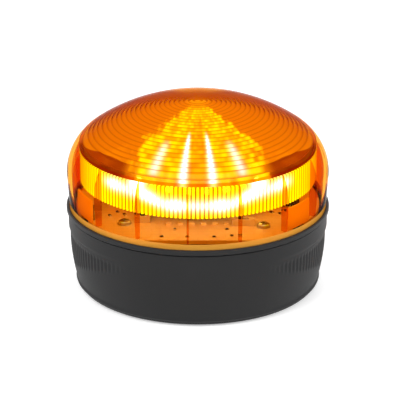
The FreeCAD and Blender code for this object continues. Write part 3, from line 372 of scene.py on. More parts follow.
def ring_light():
    """Painted light as if spread sideways by the flutes: bright at the front, fading round the sides.

    Angles are in degrees from the front and heights in millimetres.
    """
    def fill(tree, inputs):
        azimuth = tree.math("ABSOLUTE", inputs["Azimuth"])
        height = inputs["Height"]
        turn = tree.math("DIVIDE", tree.product(inputs["Azimuth"], inputs["Flutes"]), 360.0)
        phase = tree.math("ABSOLUTE", tree.math("SUBTRACT", tree.math("FRACT", turn), 0.5))
        crest = tree.step(phase, 0.08, 0.34)
        spread = tree.total(tree.product(tree.step(azimuth, 80.0, 52.0), 0.75),
                            tree.product(tree.step(azimuth, 110.0, 70.0), 0.25))
        warm = tree.product(spread, tree.step(height, 41.4, 42.8),
                            tree.total(0.1, tree.product(crest, 0.9)))
        white = ring_band(tree, azimuth, height, crest)
        light = tree.vector("ADD", tree.scaled((0.9, 2.3, 0.0), warm), tree.scaled((1.5, 5.0, 85.0), white))
        # Painted shade between the flute crests
        return [light, tree.product(tree.math("SUBTRACT", 1.0, crest), 0.5)]

    return shader_group("Ring light", [("Azimuth", "Float"), ("Height", "Float"), ("Flutes", "Float")],
                        [("Light", "Color"), ("Shade", "Float")], fill)


# ---------------------------------------------------------------------------------------------------
# Finishes, one for each material slot
# ---------------------------------------------------------------------------------------------------
def new_finish(name):
    """An empty material, its tree, its Principled shader and the object's own coordinates."""
    material = bpy.data.materials.new("finish_" + name)
    material.use_nodes = True
    material.node_tree.nodes.clear()
    tree = Tree(material.node_tree)
    output = tree.node("ShaderNodeOutputMaterial")
    shader = tree.node("ShaderNodeBsdfPrincipled")
    material.node_tree.links.new(shader.outputs[0], output.inputs["Surface"])
    place = tree.node("ShaderNodeTexCoord").outputs["Object"]
    return material, tree, shader, place


def bump(tree, shader, height, distance):
    node = tree.node("ShaderNodeBump", {"Height": height, "Distance": distance, "Strength": 1.0})
    tree.feed(shader.inputs["Normal"], node.outputs[0])


def moulded(name, tint, roughness, grain_scale=2600.0, grain_depth=0.00003, worn=0.0, gloss_level=0.5):
    """Moulded plastic or rubber: grain, uneven gloss and edges that have rubbed pale."""
    material, tree, shader, place = new_finish(name)
    grain = tree.group(moulded_grain(), Place=place, Scale=grain_scale)
    pale = [min(1.0, part * 1.25 + 0.004) for part in tint]
    deep = [part * 0.85 for part in tint]
    base = tree.mix(grain.outputs["Tone"], rgba(deep), rgba(pale))
    gloss = tree.total(roughness - 0.08, tree.product(grain.outputs["Tone"], 0.16))
    if worn:
        mask = tree.group(edge_wear(), Place=place, Width=0.0004).outputs["Mask"]
        rubbed = [min(1.0, part * 2.0 + 0.03) for part in tint]
        base = tree.mix(tree.product(mask, worn), base, rgba(rubbed))
    tree.feed(shader.inputs["Base Color"], base)
    tree.feed(shader.inputs["Roughness"], gloss)
    shader.inputs["Specular IOR Level"].default_value = gloss_level
    bump(tree, shader, grain.outputs["Height"], grain_depth)
    return material


def metal(name, tint, roughness, brush=(900.0, 900.0, 60.0)):
    """Plated or brushed metal with fine drawn lines."""
    material, tree, shader, place = new_finish(name)
    stretched = tree.node("ShaderNodeMapping", {"Vector": place, "Scale": brush}).outputs[0]
    lines = tree.node("ShaderNodeTexNoise", {"Vector": stretched, "Scale": 1.0, "Detail": 4.0}).outputs[0]
    dull = [part * 0.8 for part in tint]
    tree.feed(shader.inputs["Base Color"], tree.mix(lines, rgba(dull), rgba(tint)))
    tree.feed(shader.inputs["Roughness"], tree.total(roughness - 0.1, tree.product(lines, 0.2)))
    shader.inputs["Metallic"].default_value = 1.0
    bump(tree, shader, lines, 0.00001)
    return material


def board_finish(name, tint):
    """Solder mask over copper: faint tracks stand up under a glossy pale coat."""
    material, tree, shader, place = new_finish(name)
    cells = tree.node("ShaderNodeTexBrick", {"Vector": place, "Scale": 130.0, "Mortar Size": 0.03,
                                             "Brick Width": 0.9, "Row Height": 0.35,
                                             "Color1": (1, 1, 1, 1), "Color2": (1, 1, 1, 1),
                                             "Mortar": (0, 0, 0, 1)})
    tracks = tree.math("SUBTRACT", 1.0, cells.outputs["Color"])
    clouds = tree.group(moulded_grain(), Place=place, Scale=900.0)
    under_mask = [part * 0.88 for part in tint]
    base = tree.mix(tree.product(tracks, 0.5), rgba(tint), rgba(under_mask))
    base = tree.mix(tree.product(clouds.outputs["Tone"], 0.12), base, rgba([part * 0.8 for part in tint]))
    tree.feed(shader.inputs["Base Color"], base)
    tree.feed(shader.inputs["Roughness"], tree.total(0.28, tree.product(clouds.outputs["Tone"], 0.12)))
    bump(tree, shader, tracks, 0.00004)
    return material


def shell_tint(tint):
    """What one face of a wall lets through, so that both faces together give its tint."""
    return [math.sqrt(part) for part in tint]


def clear_plastic(name, tint, light=None, roughness=0.03, clear=1.0, mottled=0.02):
    """Polished or frosted amber that lets lamps shine in, with painted light and painted shade standing in
    for what its prisms carry.
    """
    material, tree, shader, place = new_finish(name)
    path = tree.node("ShaderNodeLightPath")
    streaks = tree.node("ShaderNodeTexNoise", {"Vector": place, "Scale": 70.0, "Detail": 2.0}).outputs[0]
    deep = [tint[0], tint[1] * 0.93, tint[2] * 0.85]
    base = tree.mix(streaks, rgba(deep), rgba(tint))
    # Deeper tint edge-on, from the longer path through the wall, with a painted dark outline at the lens's
    # edges
    edge_on = tree.node("ShaderNodeLayerWeight", {"Blend": 0.5}).outputs["Facing"]
    base = tree.mix(tree.math("POWER", edge_on, 5.0), base, rgba(colours().edge_on))
    shader.inputs["Transmission Weight"].default_value = clear
    shader.inputs["IOR"].default_value = 1.02
    shader.inputs["Specular IOR Level"].default_value = 0.1
    shader.inputs["Specular Tint"].default_value = rgba((1.0, 0.42, 0.03))
    tree.feed(shader.inputs["Roughness"], tree.total(roughness - mottled / 2, tree.product(streaks, mottled)))
    if light:
        # Painted light goes in as emission, and painted shade is mixed into the base colour
        glow, shade = light(tree, place)
        base = tree.mix(shade, base, rgba(colours().groove))
        tree.feed(shader.inputs["Emission Color"], glow)
        tree.feed(shader.inputs["Emission Strength"],
                  tree.math("SUBTRACT", 1.0, tree.product(path.outputs["Is Diffuse Ray"], 0.75)))
        material.cycles.emission_sampling = "NONE"
    tree.feed(shader.inputs["Base Color"], base)
    through = tree.node("ShaderNodeBsdfTransparent", {"Color": rgba(shell_tint(tint))})
    mixed = tree.node("ShaderNodeMixShader", {0: path.outputs["Is Shadow Ray"], 1: shader.outputs[0],
                                              2: through.outputs[0]})
    output = next(node for node in material.node_tree.nodes if node.type == "OUTPUT_MATERIAL")
    tree.feed(output.inputs["Surface"], mixed.outputs[0])
    return material


def crown_glow(tree, place):
    """The crown's painted light and shade, at the pitch of its prisms."""
    polar = tree.group(polar_place(), Place=place)
    light = tree.group(crown_light(), Azimuth=polar.outputs["Azimuth"], Radius=polar.outputs["Radius"],
                       Pitch=sizes().prism_edge / sizes().prism_count * 1000.0)
    return light.outputs["Light"], light.outputs["Shade"]


def ring_glow(tree, place):
    """The fluted ring's painted light and shade, one crest for each flute."""
    polar = tree.group(polar_place(), Place=place)
    light = tree.group(ring_light(), Azimuth=polar.outputs["Azimuth"], Height=polar.outputs["Height"],
                       Flutes=float(sizes().flute_count))
    return light.outputs["Light"], light.outputs["Shade"]


def lit(name, tint, strength):
    """The glowing phosphor of a lit LED."""
    material, tree, shader, place = new_finish(name)
    grain = tree.group(moulded_grain(), Place=place, Scale=4000.0)
    tree.feed(shader.inputs["Base Color"], tree.mix(grain.outputs["Tone"], rgba(tint), (1.0, 0.9, 0.6, 1.0)))
    shader.inputs["Emission Color"].default_value = rgba((0.5, 0.62, 1.0))
    shader.inputs["Emission Strength"].default_value = strength
    shader.inputs["Roughness"].default_value = 0.4
    material.cycles.emission_sampling = "NONE"
    return material


FINISHES = {
    "base_black": lambda: moulded("base_black", colours().black, 0.55, worn=0.35, gloss_level=0.2),
    "head_black": lambda: moulded("head_black", colours().black, 0.5, worn=0.35, gloss_level=0.2),
    "seal_rubber": lambda: moulded("seal_rubber", (0.028, 0.028, 0.029), 0.8, 1400.0),
    "amber_lens": lambda: clear_plastic("amber_lens", colours().amber),
    "amber_crown": lambda: clear_plastic("amber_crown", colours().crown, crown_glow, 0.3, 0.25, 0.1),
    "amber_frosted": lambda: clear_plastic("amber_frosted", colours().frosted, None, 0.45, 0.3, 0.15),
    "amber_pad": lambda: clear_plastic("amber_pad", colours().pad, None, 0.5, 0.08, 0.15),
    "amber_ring": lambda: clear_plastic("amber_ring", colours().ring, ring_glow, 0.1, 0.5, 0.06),
    "board_white": lambda: board_finish("board_white", colours().solder_mask),
    "led_board_white": lambda: board_finish("led_board_white", colours().solder_mask),
    "lamp_case": lambda: moulded("lamp_case", (0.85, 0.82, 0.72), 0.25, 3000.0),
    "chip_black": lambda: moulded("chip_black", (0.035, 0.035, 0.04), 0.6, 5000.0),
    "button_grey": lambda: moulded("button_grey", (0.62, 0.60, 0.54), 0.5),
    "button_black": lambda: moulded("button_black", (0.03, 0.03, 0.03), 0.45, worn=0.4),
    "capacitor_metal": lambda: metal("capacitor_metal", (0.72, 0.72, 0.74), 0.35),
    "screw_steel": lambda: metal("screw_steel", (0.62, 0.61, 0.58), 0.3, (300.0, 300.0, 300.0)),
    "solder": lambda: metal("solder", (0.72, 0.70, 0.66), 0.35, (500.0, 500.0, 500.0)),
    "carrier_white": lambda: moulded("carrier_white", (0.78, 0.77, 0.73), 0.5, 1800.0),
    "led_case": lambda: moulded("led_case", (0.88, 0.86, 0.78), 0.4, 3500.0),
    "led_unlit": lambda: moulded("led_unlit", (0.85, 0.62, 0.12), 0.3, 4000.0),
    "led_lit": lambda: lit("led_lit", (0.95, 0.75, 0.25), 18.0),
    "tray_black": lambda: moulded("tray_black", (0.045, 0.045, 0.047), 0.6, worn=0.3),
    "cell_metal": lambda: metal("cell_metal", (0.55, 0.56, 0.58), 0.32, (60.0, 900.0, 900.0)),
    "contact_nickel": lambda: metal("contact_nickel", (0.66, 0.64, 0.6), 0.28),
    "pin_brass": lambda: metal("pin_brass", (0.8, 0.6, 0.26), 0.25),
}


def finish(name):
    """The material for a slot, built the first time it is asked for."""
    return bpy.data.materials.get("finish_" + name) or FINISHES[name]()


def dress(slot, *nodes):
    """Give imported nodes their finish; their meshes stay as they are."""
    for node in nodes:
        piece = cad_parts[node]
        for material_slot in piece.material_slots:
            material_slot.material = finish(slot)


# ---------------------------------------------------------------------------------------------------
# Meshes
# ---------------------------------------------------------------------------------------------------
def new_piece(name, mesh):
    piece = bpy.data.objects.new(name, mesh)
    bpy.context.scene.collection.objects.link(piece)
    return piece


def smooth(mesh, degrees=32.0):
    """Smooth shading with the mesh's own corners kept sharp."""
    mesh.shade_smooth()
    mesh.set_sharp_from_angle(angle=math.radians(degrees))


def lathe(name, outline, turns, finishes, cut=None):
    """Turn a closed outline about the Z axis.

    A corner is (radius, height, finish of the band to the next corner).  cut(azimuth, radius, height)
    may give a point another radius.
    """
    points = []
    rows = []
    for radius, height, _ in outline:
        if radius < 1e-7:
            rows.append([len(points)] * turns)
            points.append((0.0, 0.0, height))
            continue
        rows.append(list(range(len(points), len(points) + turns)))
        for step in range(turns):
            azimuth = 2 * math.pi * step / turns
            reach = cut(azimuth, radius, height) if cut else radius
            points.append((reach * math.sin(azimuth), -reach * math.cos(azimuth), height))
    faces = []
    bands = []
    for index, row in enumerate(rows):
        below = rows[(index + 1) % len(rows)]
        for step in range(turns):
            after = (step + 1) % turns
            corners = dict.fromkeys((row[step], row[after], below[after], below[step]))
            if len(corners) > 2:
                faces.append(tuple(corners))
                bands.append(finishes.index(outline[index][2]))
    mesh = bpy.data.meshes.new(name)
    mesh.from_pydata(points, [], faces)
    mesh.polygons.foreach_set("material_index", bands)
    for finish_name in finishes:
        mesh.materials.append(finish(finish_name))
    outwards(mesh)
    smooth(mesh)
    return new_piece(name, mesh)


def outwards(mesh):
    """Turn every face of closed shells outwards."""
    shell = bmesh.new()
    shell.from_mesh(mesh)
    bmesh.ops.recalc_face_normals(shell, faces=shell.faces)
    shell.to_mesh(mesh)
    shell.free()


def arc(centre, radius, first, last, steps):
    """Points along an arc, in an outline's plane, without its last point."""
    turn = [first + (last - first) * step / steps for step in range(steps)]
    return [(centre[0] + radius * math.cos(a), centre[1] + radius * math.sin(a)) for a in turn]


def slab(name, corners, low, high, axis):
    """A flat outline with thickness along an axis (0, 1 or 2), as a closed mesh object."""
    points = []
    for level in (low, high):
        for first, second in corners:
            point = [first, second]
            point.insert(axis, level)
            points.append(point)
    count = len(corners)
    faces = [tuple(range(count)), tuple(range(2 * count - 1, count - 1, -1))]
    faces += [(i, i + count, (i + 1) % count + count, (i + 1) % count) for i in range(count)]
    mesh = bpy.data.meshes.new(name)
    mesh.from_pydata(points, [], faces)
    outwards(mesh)
    return new_piece(name, mesh)


def carved(piece, tools, operation):
    """Join tools to a closed piece or cut them out of it; the piece and the tools are used up."""
    for tool in tools:
        step = piece.modifiers.new("Carve", "BOOLEAN")
        step.object, step.operation, step.solver = tool, operation, "EXACT"
    bpy.context.view_layer.update()
    name = piece.name
    mesh = bpy.data.meshes.new_from_object(piece.evaluated_get(bpy.context.evaluated_depsgraph_get()))
    for used in (piece, *tools):
        bpy.data.objects.remove(used)
    return new_piece(name, mesh)


def heading(degrees):
    """A level direction, turned from the front in degrees, anticlockwise seen from above."""
    return Vector((math.sin(math.radians(degrees)), -math.cos(math.radians(degrees)), 0))


# ---------------------------------------------------------------------------------------------------
# Geometry Nodes
# ---------------------------------------------------------------------------------------------------
def geometry_tree(name, inputs, fill):
    """A Geometry Nodes tree, made once.  fill(tree, inputs) returns its geometry."""
    if name in bpy.data.node_groups:
        return bpy.data.node_groups[name]
    group = bpy.data.node_groups.new(name, "GeometryNodeTree")
    group.interface.new_socket("Geometry", in_out="INPUT", socket_type="NodeSocketGeometry")
    for label, kind in inputs:
        group.interface.new_socket(label, in_out="INPUT", socket_type="NodeSocket" + kind)
    group.interface.new_socket("Geometry", in_out="OUTPUT", socket_type="NodeSocketGeometry")
    tree = Tree(group)
    start = tree.node("NodeGroupInput")
    end = tree.node("NodeGroupOutput")
    group.links.new(fill(tree, start.outputs), end.inputs[0])
    return group


def grown(name, seed, tree, **values):
    """Run a tree on a mesh and keep the result as a plain mesh piece."""
    holder = new_piece(name + "_seed", seed)
    modifier = holder.modifiers.new("Grow", "NODES")
    modifier.node_group = tree
    for item in tree.interface.items_tree:
        if item.in_out == "INPUT" and item.name in values:
            modifier[item.identifier] = values[item.name]
    bpy.context.view_layer.update()
    evaluated = holder.evaluated_get(bpy.context.evaluated_depsgraph_get())
    mesh = bpy.data.meshes.new_from_object(evaluated)
    mesh.name = name
    bpy.data.objects.remove(holder)
    return new_piece(name, mesh)


def copies_on_places():
    """Copies of a pattern at points, each turned to its point's facing and heading."""
    def fill(tree, inputs):
        pattern = tree.node("GeometryNodeObjectInfo", {"Object": inputs["Pattern"]})
        facing = tree.node("GeometryNodeInputNamedAttribute", {"Name": "facing"}, data_type="FLOAT_VECTOR")
        heading = tree.node("GeometryNodeInputNamedAttribute", {"Name": "heading"}, data_type="FLOAT_VECTOR")
        turn = tree.node("FunctionNodeAxesToRotation", {0: facing.outputs[0], 1: heading.outputs[0]},
                         primary_axis="Z", secondary_axis="X")
        copies = tree.node("GeometryNodeInstanceOnPoints",
                           {"Points": inputs["Geometry"], "Instance": pattern.outputs["Geometry"],
                            "Rotation": turn.outputs[0]})
        joined = tree.node("GeometryNodeRealizeInstances", {0: copies.outputs[0]})
        finished = tree.node("GeometryNodeSetMaterial", {"Geometry": joined.outputs[0],
                                                         "Material": inputs["Finish"]})
        return finished.outputs[0]

    return geometry_tree("Copies on places", [("Pattern", "Object"), ("Finish", "Material")], fill)


def copies(name, pattern, places, slot):
    """One piece of many copies.  A place is (point, facing, heading); the pattern is used up."""
    seed = bpy.data.meshes.new(name + "_places")
    seed.from_pydata([place[0] for place in places], [], [])
    for label, index in (("facing", 1), ("heading", 2)):
        attribute = seed.attributes.new(label, "FLOAT_VECTOR", "POINT")
        attribute.data.foreach_set("vector", [part for place in places for part in place[index]])
    piece = grown(name, seed, copies_on_places(), Pattern=pattern, Finish=finish(slot))
    bpy.data.objects.remove(pattern)
    smooth(piece.data)
    return piece


def fluted_ring_tree():
    """A ring of rectangular section whose outer face is drawn in between the crests of its flutes."""
    def fill(tree, inputs):
        mid = tree.math("SUBTRACT", inputs["Radius"], tree.math("DIVIDE", inputs["Wall"], 2.0))
        spine = tree.node("GeometryNodeCurvePrimitiveCircle",
                          {"Resolution": tree.math("MULTIPLY", inputs["Flutes"], 6.0), "Radius": mid})
        section = tree.node("GeometryNodeCurvePrimitiveQuadrilateral",
                            {"Width": inputs["Wall"], "Height": inputs["Height"]})
        ring = tree.node("GeometryNodeCurveToMesh",
                         {"Curve": spine.outputs[0], "Profile Curve": section.outputs[0]})
        position = tree.node("GeometryNodeInputPosition").outputs[0]
        x, y, _ = tree.node("ShaderNodeSeparateXYZ", {0: position}).outputs
        radius = tree.math("SQRT", tree.total(tree.product(x, x), tree.product(y, y)))
        wave = tree.math("COSINE", tree.product(tree.math("ARCTAN2", x, y), inputs["Flutes"]))
        drawn = tree.product(tree.math("SUBTRACT", 1.0, wave), tree.product(inputs["Depth"], -0.5))
        outer = tree.math("GREATER_THAN", radius, mid)
        flat = tree.node("ShaderNodeCombineXYZ", {"X": x, "Y": y})
        outward = tree.vector("NORMALIZE", flat.outputs[0])
        rise = tree.node("ShaderNodeCombineXYZ", {"Z": inputs["Level"]}).outputs[0]
        offset = tree.vector("ADD", tree.scaled(outward, tree.product(drawn, outer)), rise)
        moved = tree.node("GeometryNodeSetPosition", {"Geometry": ring.outputs[0], "Offset": offset})
        finished = tree.node("GeometryNodeSetMaterial", {"Geometry": moved.outputs[0],
                                                         "Material": inputs["Finish"]})
        return tree.node("GeometryNodeRealizeInstances", {0: finished.outputs[0]}).outputs[0]

    return geometry_tree("Fluted ring", [("Radius", "Float"), ("Wall", "Float"), ("Height", "Float"),
                                         ("Level", "Float"), ("Flutes", "Int"), ("Depth", "Float"),
                                         ("Finish", "Material")], fill)


# ---------------------------------------------------------------------------------------------------
# Base
# ---------------------------------------------------------------------------------------------------
def grip_depth_at(azimuth, height):
    """How far the base's side is drawn in by the finger grips, at an azimuth from the front."""
    size = sizes()
    off_side = abs(abs(math.remainder(azimuth, 2 * math.pi)) - math.pi / 2)
    if off_side > size.grip_half_angle:
        return 0.0
    share = off_side / size.grip_half_angle
    hollow = size.grip_depth * (1 - share * share)
    upper_slope = 0.5 * MM
    under_top = min(1.0, max(0.0, (size.grip_top - height) / upper_slope))
    rib_top = size.grip_top - size.rib_top_drop
    rib_bottom = size.rib_bottom + size.rib_bottom_rise * share
    rib_end_slope = 1.2 * MM
    inside = min(rib_top - height, height - rib_bottom) / rib_end_slope
    ribbed = min(1.0, max(0.0, inside)) * min(1.0, (1 - share) * 5)
    wave = 0.5 - 0.5 * math.cos(2 * math.pi * azimuth / size.rib_pitch)
    return under_top * hollow + ribbed * size.rib_depth * wave


def fixing_posts(radius, low, high):
    """An upright round post at each of the four fixing places."""
    size = sizes()
    turns = [math.radians(8 * step) for step in range(45)]
    posts = []
    for quarter in range(4):
        way = heading(90 + 90 * quarter) * size.fixing_ring
        ring = [(way.x + radius * math.cos(turn), way.y + radius * math.sin(turn)) for turn in turns]
        posts.append(slab("fixing_post", ring, low, high, 2))
    return posts


def fixing_floor():
    """The base's floor: a gasket groove, four bosses and the holes through them."""
    size = sizes()
    black = "base_black"
    outer = size.gasket_outer + size.floor_seam
    bottom = BASE_LOW.z
    top = bottom + size.base_floor
    boss_top = top + size.fixing_boss_height
    past = 1 * MM
    outline = [(outer, bottom, black), (outer, top, black), (0.0, top, black), (0.0, bottom, black),
               (size.gasket_inner, bottom, black), (size.gasket_inner, size.gasket_high, black),
               (size.gasket_outer, size.gasket_high, black), (size.gasket_outer, bottom, black)]
    floor = lathe("base_floor", outline, 180, [black])
    floor = carved(floor, fixing_posts(size.fixing_boss_radius, top - past, boss_top), "UNION")
    return carved(floor, fixing_posts(size.fixing_hole_radius, bottom - past, boss_top + past), "DIFFERENCE")


def base_outline():
    """The base's wall in section: a rounded foot, a bulging taper and an upright rim."""
    size = sizes()
    radius = BASE_TOP.x
    bottom = BASE_LOW.z
    drop = radius - size.base_foot_radius
    rise = size.base_taper_top - bottom
    bulge = (rise * rise + drop * drop) / (2 * drop)
    foot_tilt = math.asin(rise / bulge)
    foot = size.base_foot_round
    points = arc((size.base_foot_radius - foot, bottom + foot), foot, -math.pi / 2, -0.12, 8)
    for step in range(1, 31):
        tilt = foot_tilt * (1 - step / 30) * 0.93
        points.append((radius - bulge * (1 - math.cos(tilt)), size.base_taper_top - bulge * math.sin(tilt)))
    upright = BASE_TOP.z - size.base_taper_top - size.edge_break
    points += [(radius, size.base_taper_top + upright * step / 14) for step in range(1, 15)]
    inner = radius - size.base_wall
    floor_top = bottom + size.base_floor
    seam = size.gasket_outer + size.floor_seam
    points += [(radius - size.edge_break, BASE_TOP.z), (inner, BASE_TOP.z), (inner, size.base_taper_top),
               (inner - drop, floor_top), (seam, floor_top), (seam, bottom)]
    return [(x, z, "base_black") for x, z in points]


class BEACON_OT_base(bpy.types.Operator):
    """Deep black base with its ribbed finger grips, and its gasket"""
    bl_idname = "beacon.base"
    bl_label = "Base"

    def execute(self, context):
        inner = BASE_TOP.x - sizes().base_wall

        def cut(azimuth, reach, height):
            if reach < inner + 0.1 * MM:
                return reach
            return reach - grip_depth_at(azimuth, height)

        base = lathe("base_shell", base_outline(), 1080, ["base_black"], cut)
        floor = fixing_floor()
        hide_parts("base_housing")
        for piece in (base, floor):
            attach(piece, "base")
        dress("seal_rubber", "mounting_gasket")
        return {"FINISHED"}


# ---------------------------------------------------------------------------------------------------
# Head
# ---------------------------------------------------------------------------------------------------
class BEACON_OT_head_rim(bpy.types.Operator):
    """Black rim and deck of the head, with its seals"""
    bl_idname = "beacon.head_rim"
    bl_label = "Head rim"

    def execute(self, context):
        dress("head_black", "head_chassis")
        dress("seal_rubber", "head_seal", "lens_seal")
        return {"FINISHED"}


def lens_outline():
    """The lens in section: smooth outside, stepped prisms inside the crown."""
    size = sizes()
    side = LENS_TOP.x
    wall = size.lens_wall
    centre = LENS_TOP.z - size.dome_radius
    lean = math.asin(size.dome_edge / size.dome_radius)
    shoulder = (side - size.dome_edge) / (1 - math.sin(lean))
    shoulder_centre = (side - shoulder, centre + (size.dome_radius - shoulder) * math.cos(lean))
    outline = []
    for x, z in arc((0.0, centre), size.dome_radius, math.pi / 2, math.pi / 2 - lean, 30):
        outline.append((max(x, 0.0), z, "amber_lens"))
    for x, z in arc(shoulder_centre, shoulder, math.pi / 2 - lean, 0.0, 18):
        outline.append((x, z, "amber_lens"))
    foot = LENS_FOOT.z
    drop = shoulder_centre[1] - foot
    for share in (0.0, 0.2, 0.4, 0.6, 0.75, 1 - size.frosted_foot / drop, 1.0):
        slot = "amber_frosted" if share * drop > drop - size.frosted_foot * 1.01 else "amber_lens"
        outline.append((side + (size.lens_foot_radius - side) * share, shoulder_centre[1] - drop * share,
                        slot))
    outline.append((size.lens_foot_radius - wall, foot, "amber_lens"))

    def plain(radius):
        """Height of the inner surface above the prisms; the wall thins towards the crown."""
        share = min(1.0, max(0.0, (side - wall - radius) / (side - wall - size.collar_radius)))
        depth = wall + (size.crown_wall - wall) * share
        if radius <= size.dome_edge:
            return centre + math.sqrt((size.dome_radius - depth) ** 2 - radius * radius)
        beyond = min(radius - shoulder_centre[0], shoulder - depth)
        return shoulder_centre[1] + math.sqrt((shoulder - depth) ** 2 - beyond * beyond)

    for step in range(17):
        radius = size.collar_radius + (side - wall - size.collar_radius) * math.cos(step / 16 * math.pi / 2)
        outline.append((radius, plain(radius), "amber_lens"))
    collar_bottom = FLUTES_HIGH.z + size.collar_gap
    outline[-1] = (size.collar_radius, plain(size.collar_radius), "amber_crown")
    outline.append((size.collar_radius, collar_bottom, "amber_crown"))
    outline.append((size.collar_radius - size.collar_wall, collar_bottom, "amber_crown"))
    outline.append((size.collar_radius - size.collar_wall, plain(size.prism_edge) - size.prism_depth,
                    "amber_crown"))
    outline.append((size.prism_edge, plain(size.prism_edge) - size.prism_depth, "amber_crown"))
    for ring in range(size.prism_count - 1, 0, -1):
        radius = size.prism_edge * ring / size.prism_count
        outline.append((radius, plain(radius), "amber_crown"))
        outline.append((radius, plain(radius) - size.prism_depth, "amber_crown"))
    outline.append((0.0, plain(0.0), "amber_crown"))
    return outline


def lens_fins():
    """Thin ribs inside the lens's wall, which narrow to pass outside the fluted ring."""
    size = sizes()
    foot = BOARD_HIGH.z + size.board_gap
    wall = size.lens_foot_radius - size.lens_wall
    beside_ring = FLUTES_HIGH.x + 0.5 * MM
    corners = [(wall - size.fin_depth, foot), (wall + 0.4 * MM, foot), (wall + 1.1 * MM, 44.7 * MM),
               (wall + 0.5 * MM, 50.0 * MM), (wall - 1.0 * MM, 54.2 * MM), (beside_ring, 55.2 * MM),
               (beside_ring, FLUTES_LOW.z), (wall - size.fin_depth, FLUTES_LOW.z)]
    fin = slab("fin_pattern", corners, -size.fin_thickness / 2, size.fin_thickness / 2, 1)
    pitch = 360 / size.fin_count
    places = [(Vector(), UP, heading(math.degrees(size.fin_turn) + pitch * index))
              for index in range(size.fin_count)]
    return copies("lens_fins", fin, places, "amber_lens")


def catch_pads():
    """Unpolished pads on the lens's wall, one over each snap hook."""
    size = sizes()
    inner = size.lens_foot_radius - size.lens_wall - size.pad_reach
    outer = inner + size.pad_thickness
    corners = []
    for reach, turns in ((inner, range(-6, 7)), (outer, range(6, -7, -1))):
        for turn in turns:
            direction = size.pad_half_angle * turn / 6
            corners.append((reach * math.cos(direction), reach * math.sin(direction)))
    pad = slab("pad_pattern", corners, BOARD_HIGH.z + size.board_gap,
               FLUTES_LOW.z - size.pad_ring_gap, 2)
    places = [(Vector(), UP, heading(azimuth)) for azimuth in HOOK_AZIMUTHS]
    return copies("catch_pads", pad, places, "amber_pad")


class BEACON_OT_lens(bpy.types.Operator):
    """Amber lens with its prisms, fins and catch pads"""
    bl_idname = "beacon.lens"
    bl_label = "Lens"

    def execute(self, context):
        lens = lathe("lens_shell", lens_outline(), 288, ["amber_lens", "amber_crown", "amber_frosted"])
        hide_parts("lens_dome")
        for piece in (lens, lens_fins(), catch_pads()):
            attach(piece, "head")
        return {"FINISHED"}


class BEACON_OT_prism_ring(bpy.types.Operator):
    """Fluted ring that spreads the light sideways"""
    bl_idname = "beacon.prism_ring"
    bl_label = "Fluted ring"

    def execute(self, context):
        height = FLUTES_HIGH.z - FLUTES_LOW.z
        ring = grown("fluted_ring", bpy.data.meshes.new("fluted_ring_seed"), fluted_ring_tree(),
                     Radius=FLUTES_HIGH.x, Wall=sizes().ring_wall, Height=height,
                     Level=FLUTES_LOW.z + height / 2,
                     Flutes=sizes().flute_count, Depth=sizes().flute_depth, Finish=finish("amber_ring"))
        outwards(ring.data)
        smooth(ring.data, 60.0)
        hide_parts("prism_ring")
        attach(ring, "head")
        return {"FINISHED"}


# ---------------------------------------------------------------------------------------------------
# Control board
# ---------------------------------------------------------------------------------------------------
# The small resistors' places on the board, in millimetres, and the azimuth that each points to
SMALL_PARTS = [(-13.3, -37.3, 90), (-3.9, -37.6, 90), (6.0, -37.6, 90), (12.5, -36.6, 90), (15.3, -36.4, 0),
               (-27.5, -15.5, 30), (-30.2, -13.0, 30), (-33.0, -16.5, 30), (-8.5, -30.5, 0),
               (10.8, -30.2, 90), (27.8, -13.2, 45), (31.0, -14.6, 45), (33.2, -11.5, 45),
               (36.5, 8.0, 0), (30.5, 12.0, 90), (24.5, 17.5, 0), (-14.5, 29.0, 0), (-18.0, 31.5, 0),
               (14.0, 33.0, 90), (-38.5, 6.0, 0), (-36.0, 12.5, 90), (3.0, 38.5, 90), (-3.5, 38.8, 90)]


def flat_box(name, first, last, half_width, height):
    """A box on the XY plane from first to last along X."""
    corners = [(first, -half_width), (last, -half_width), (last, half_width), (first, half_width)]
    return slab(name, corners, 0.0, height, 2)


def resistors():
    """Small resistors: a black body between two soldered ends."""
    places = [(Vector((x * MM, y * MM, BOARD_HIGH.z)), UP, heading(turn)) for x, y, turn in SMALL_PARTS]
    half_body = 0.5 * MM
    body = flat_box("resistor_pattern", -half_body, half_body, 0.4 * MM, 0.45 * MM)
    end = flat_box("end_pattern", half_body, 0.8 * MM, 0.45 * MM, 0.5 * MM)
    turned = [(point, facing, -way) for point, facing, way in places]
    return (copies("resistors", body, places, "chip_black"),
            copies("resistor_ends", end, places + turned, "solder"))


def chip_legs():
    """Seven bent legs along two sides of every chip."""
    pitch = 0.9 * MM
    half_chip = 3.5 * MM
    places = []
    for middle in solids_of("control_chips"):
        for side in (-1, 1):
            for leg in range(7):
                point = Vector((middle.x + (leg - 3) * pitch, middle.y + side * half_chip, BOARD_HIGH.z))
                places.append((point, UP, Vector((0, side, 0))))
    bent = [(-0.1 * MM, 0.55 * MM), (0.35 * MM, 0.55 * MM), (0.5 * MM, 0.12 * MM), (0.95 * MM, 0.12 * MM),
            (0.95 * MM, 0.0), (0.4 * MM, 0.0), (0.25 * MM, 0.42 * MM), (-0.1 * MM, 0.42 * MM)]
    return copies("chip_legs", slab("leg_pattern", bent, -0.17 * MM, 0.17 * MM, 1), places, "solder")


def screw_lands():
    """A bare ring of solder round each board screw and power pin."""
    outer, inner, height = 2.75 * MM, 1.5 * MM, 0.03 * MM
    land = lathe("land_pattern", [(outer, 0.0, "solder"), (outer, height, "solder"),
                                  (inner, height, "solder"), (inner, 0.0, "solder")], 40, ["solder"])
    places = [(Vector((middle.x, middle.y, BOARD_HIGH.z)), UP, heading(0))
              for node in ("board_screws", "power_pins") for middle in solids_of(node)]
    return copies("screw_lands", land, places, "solder")


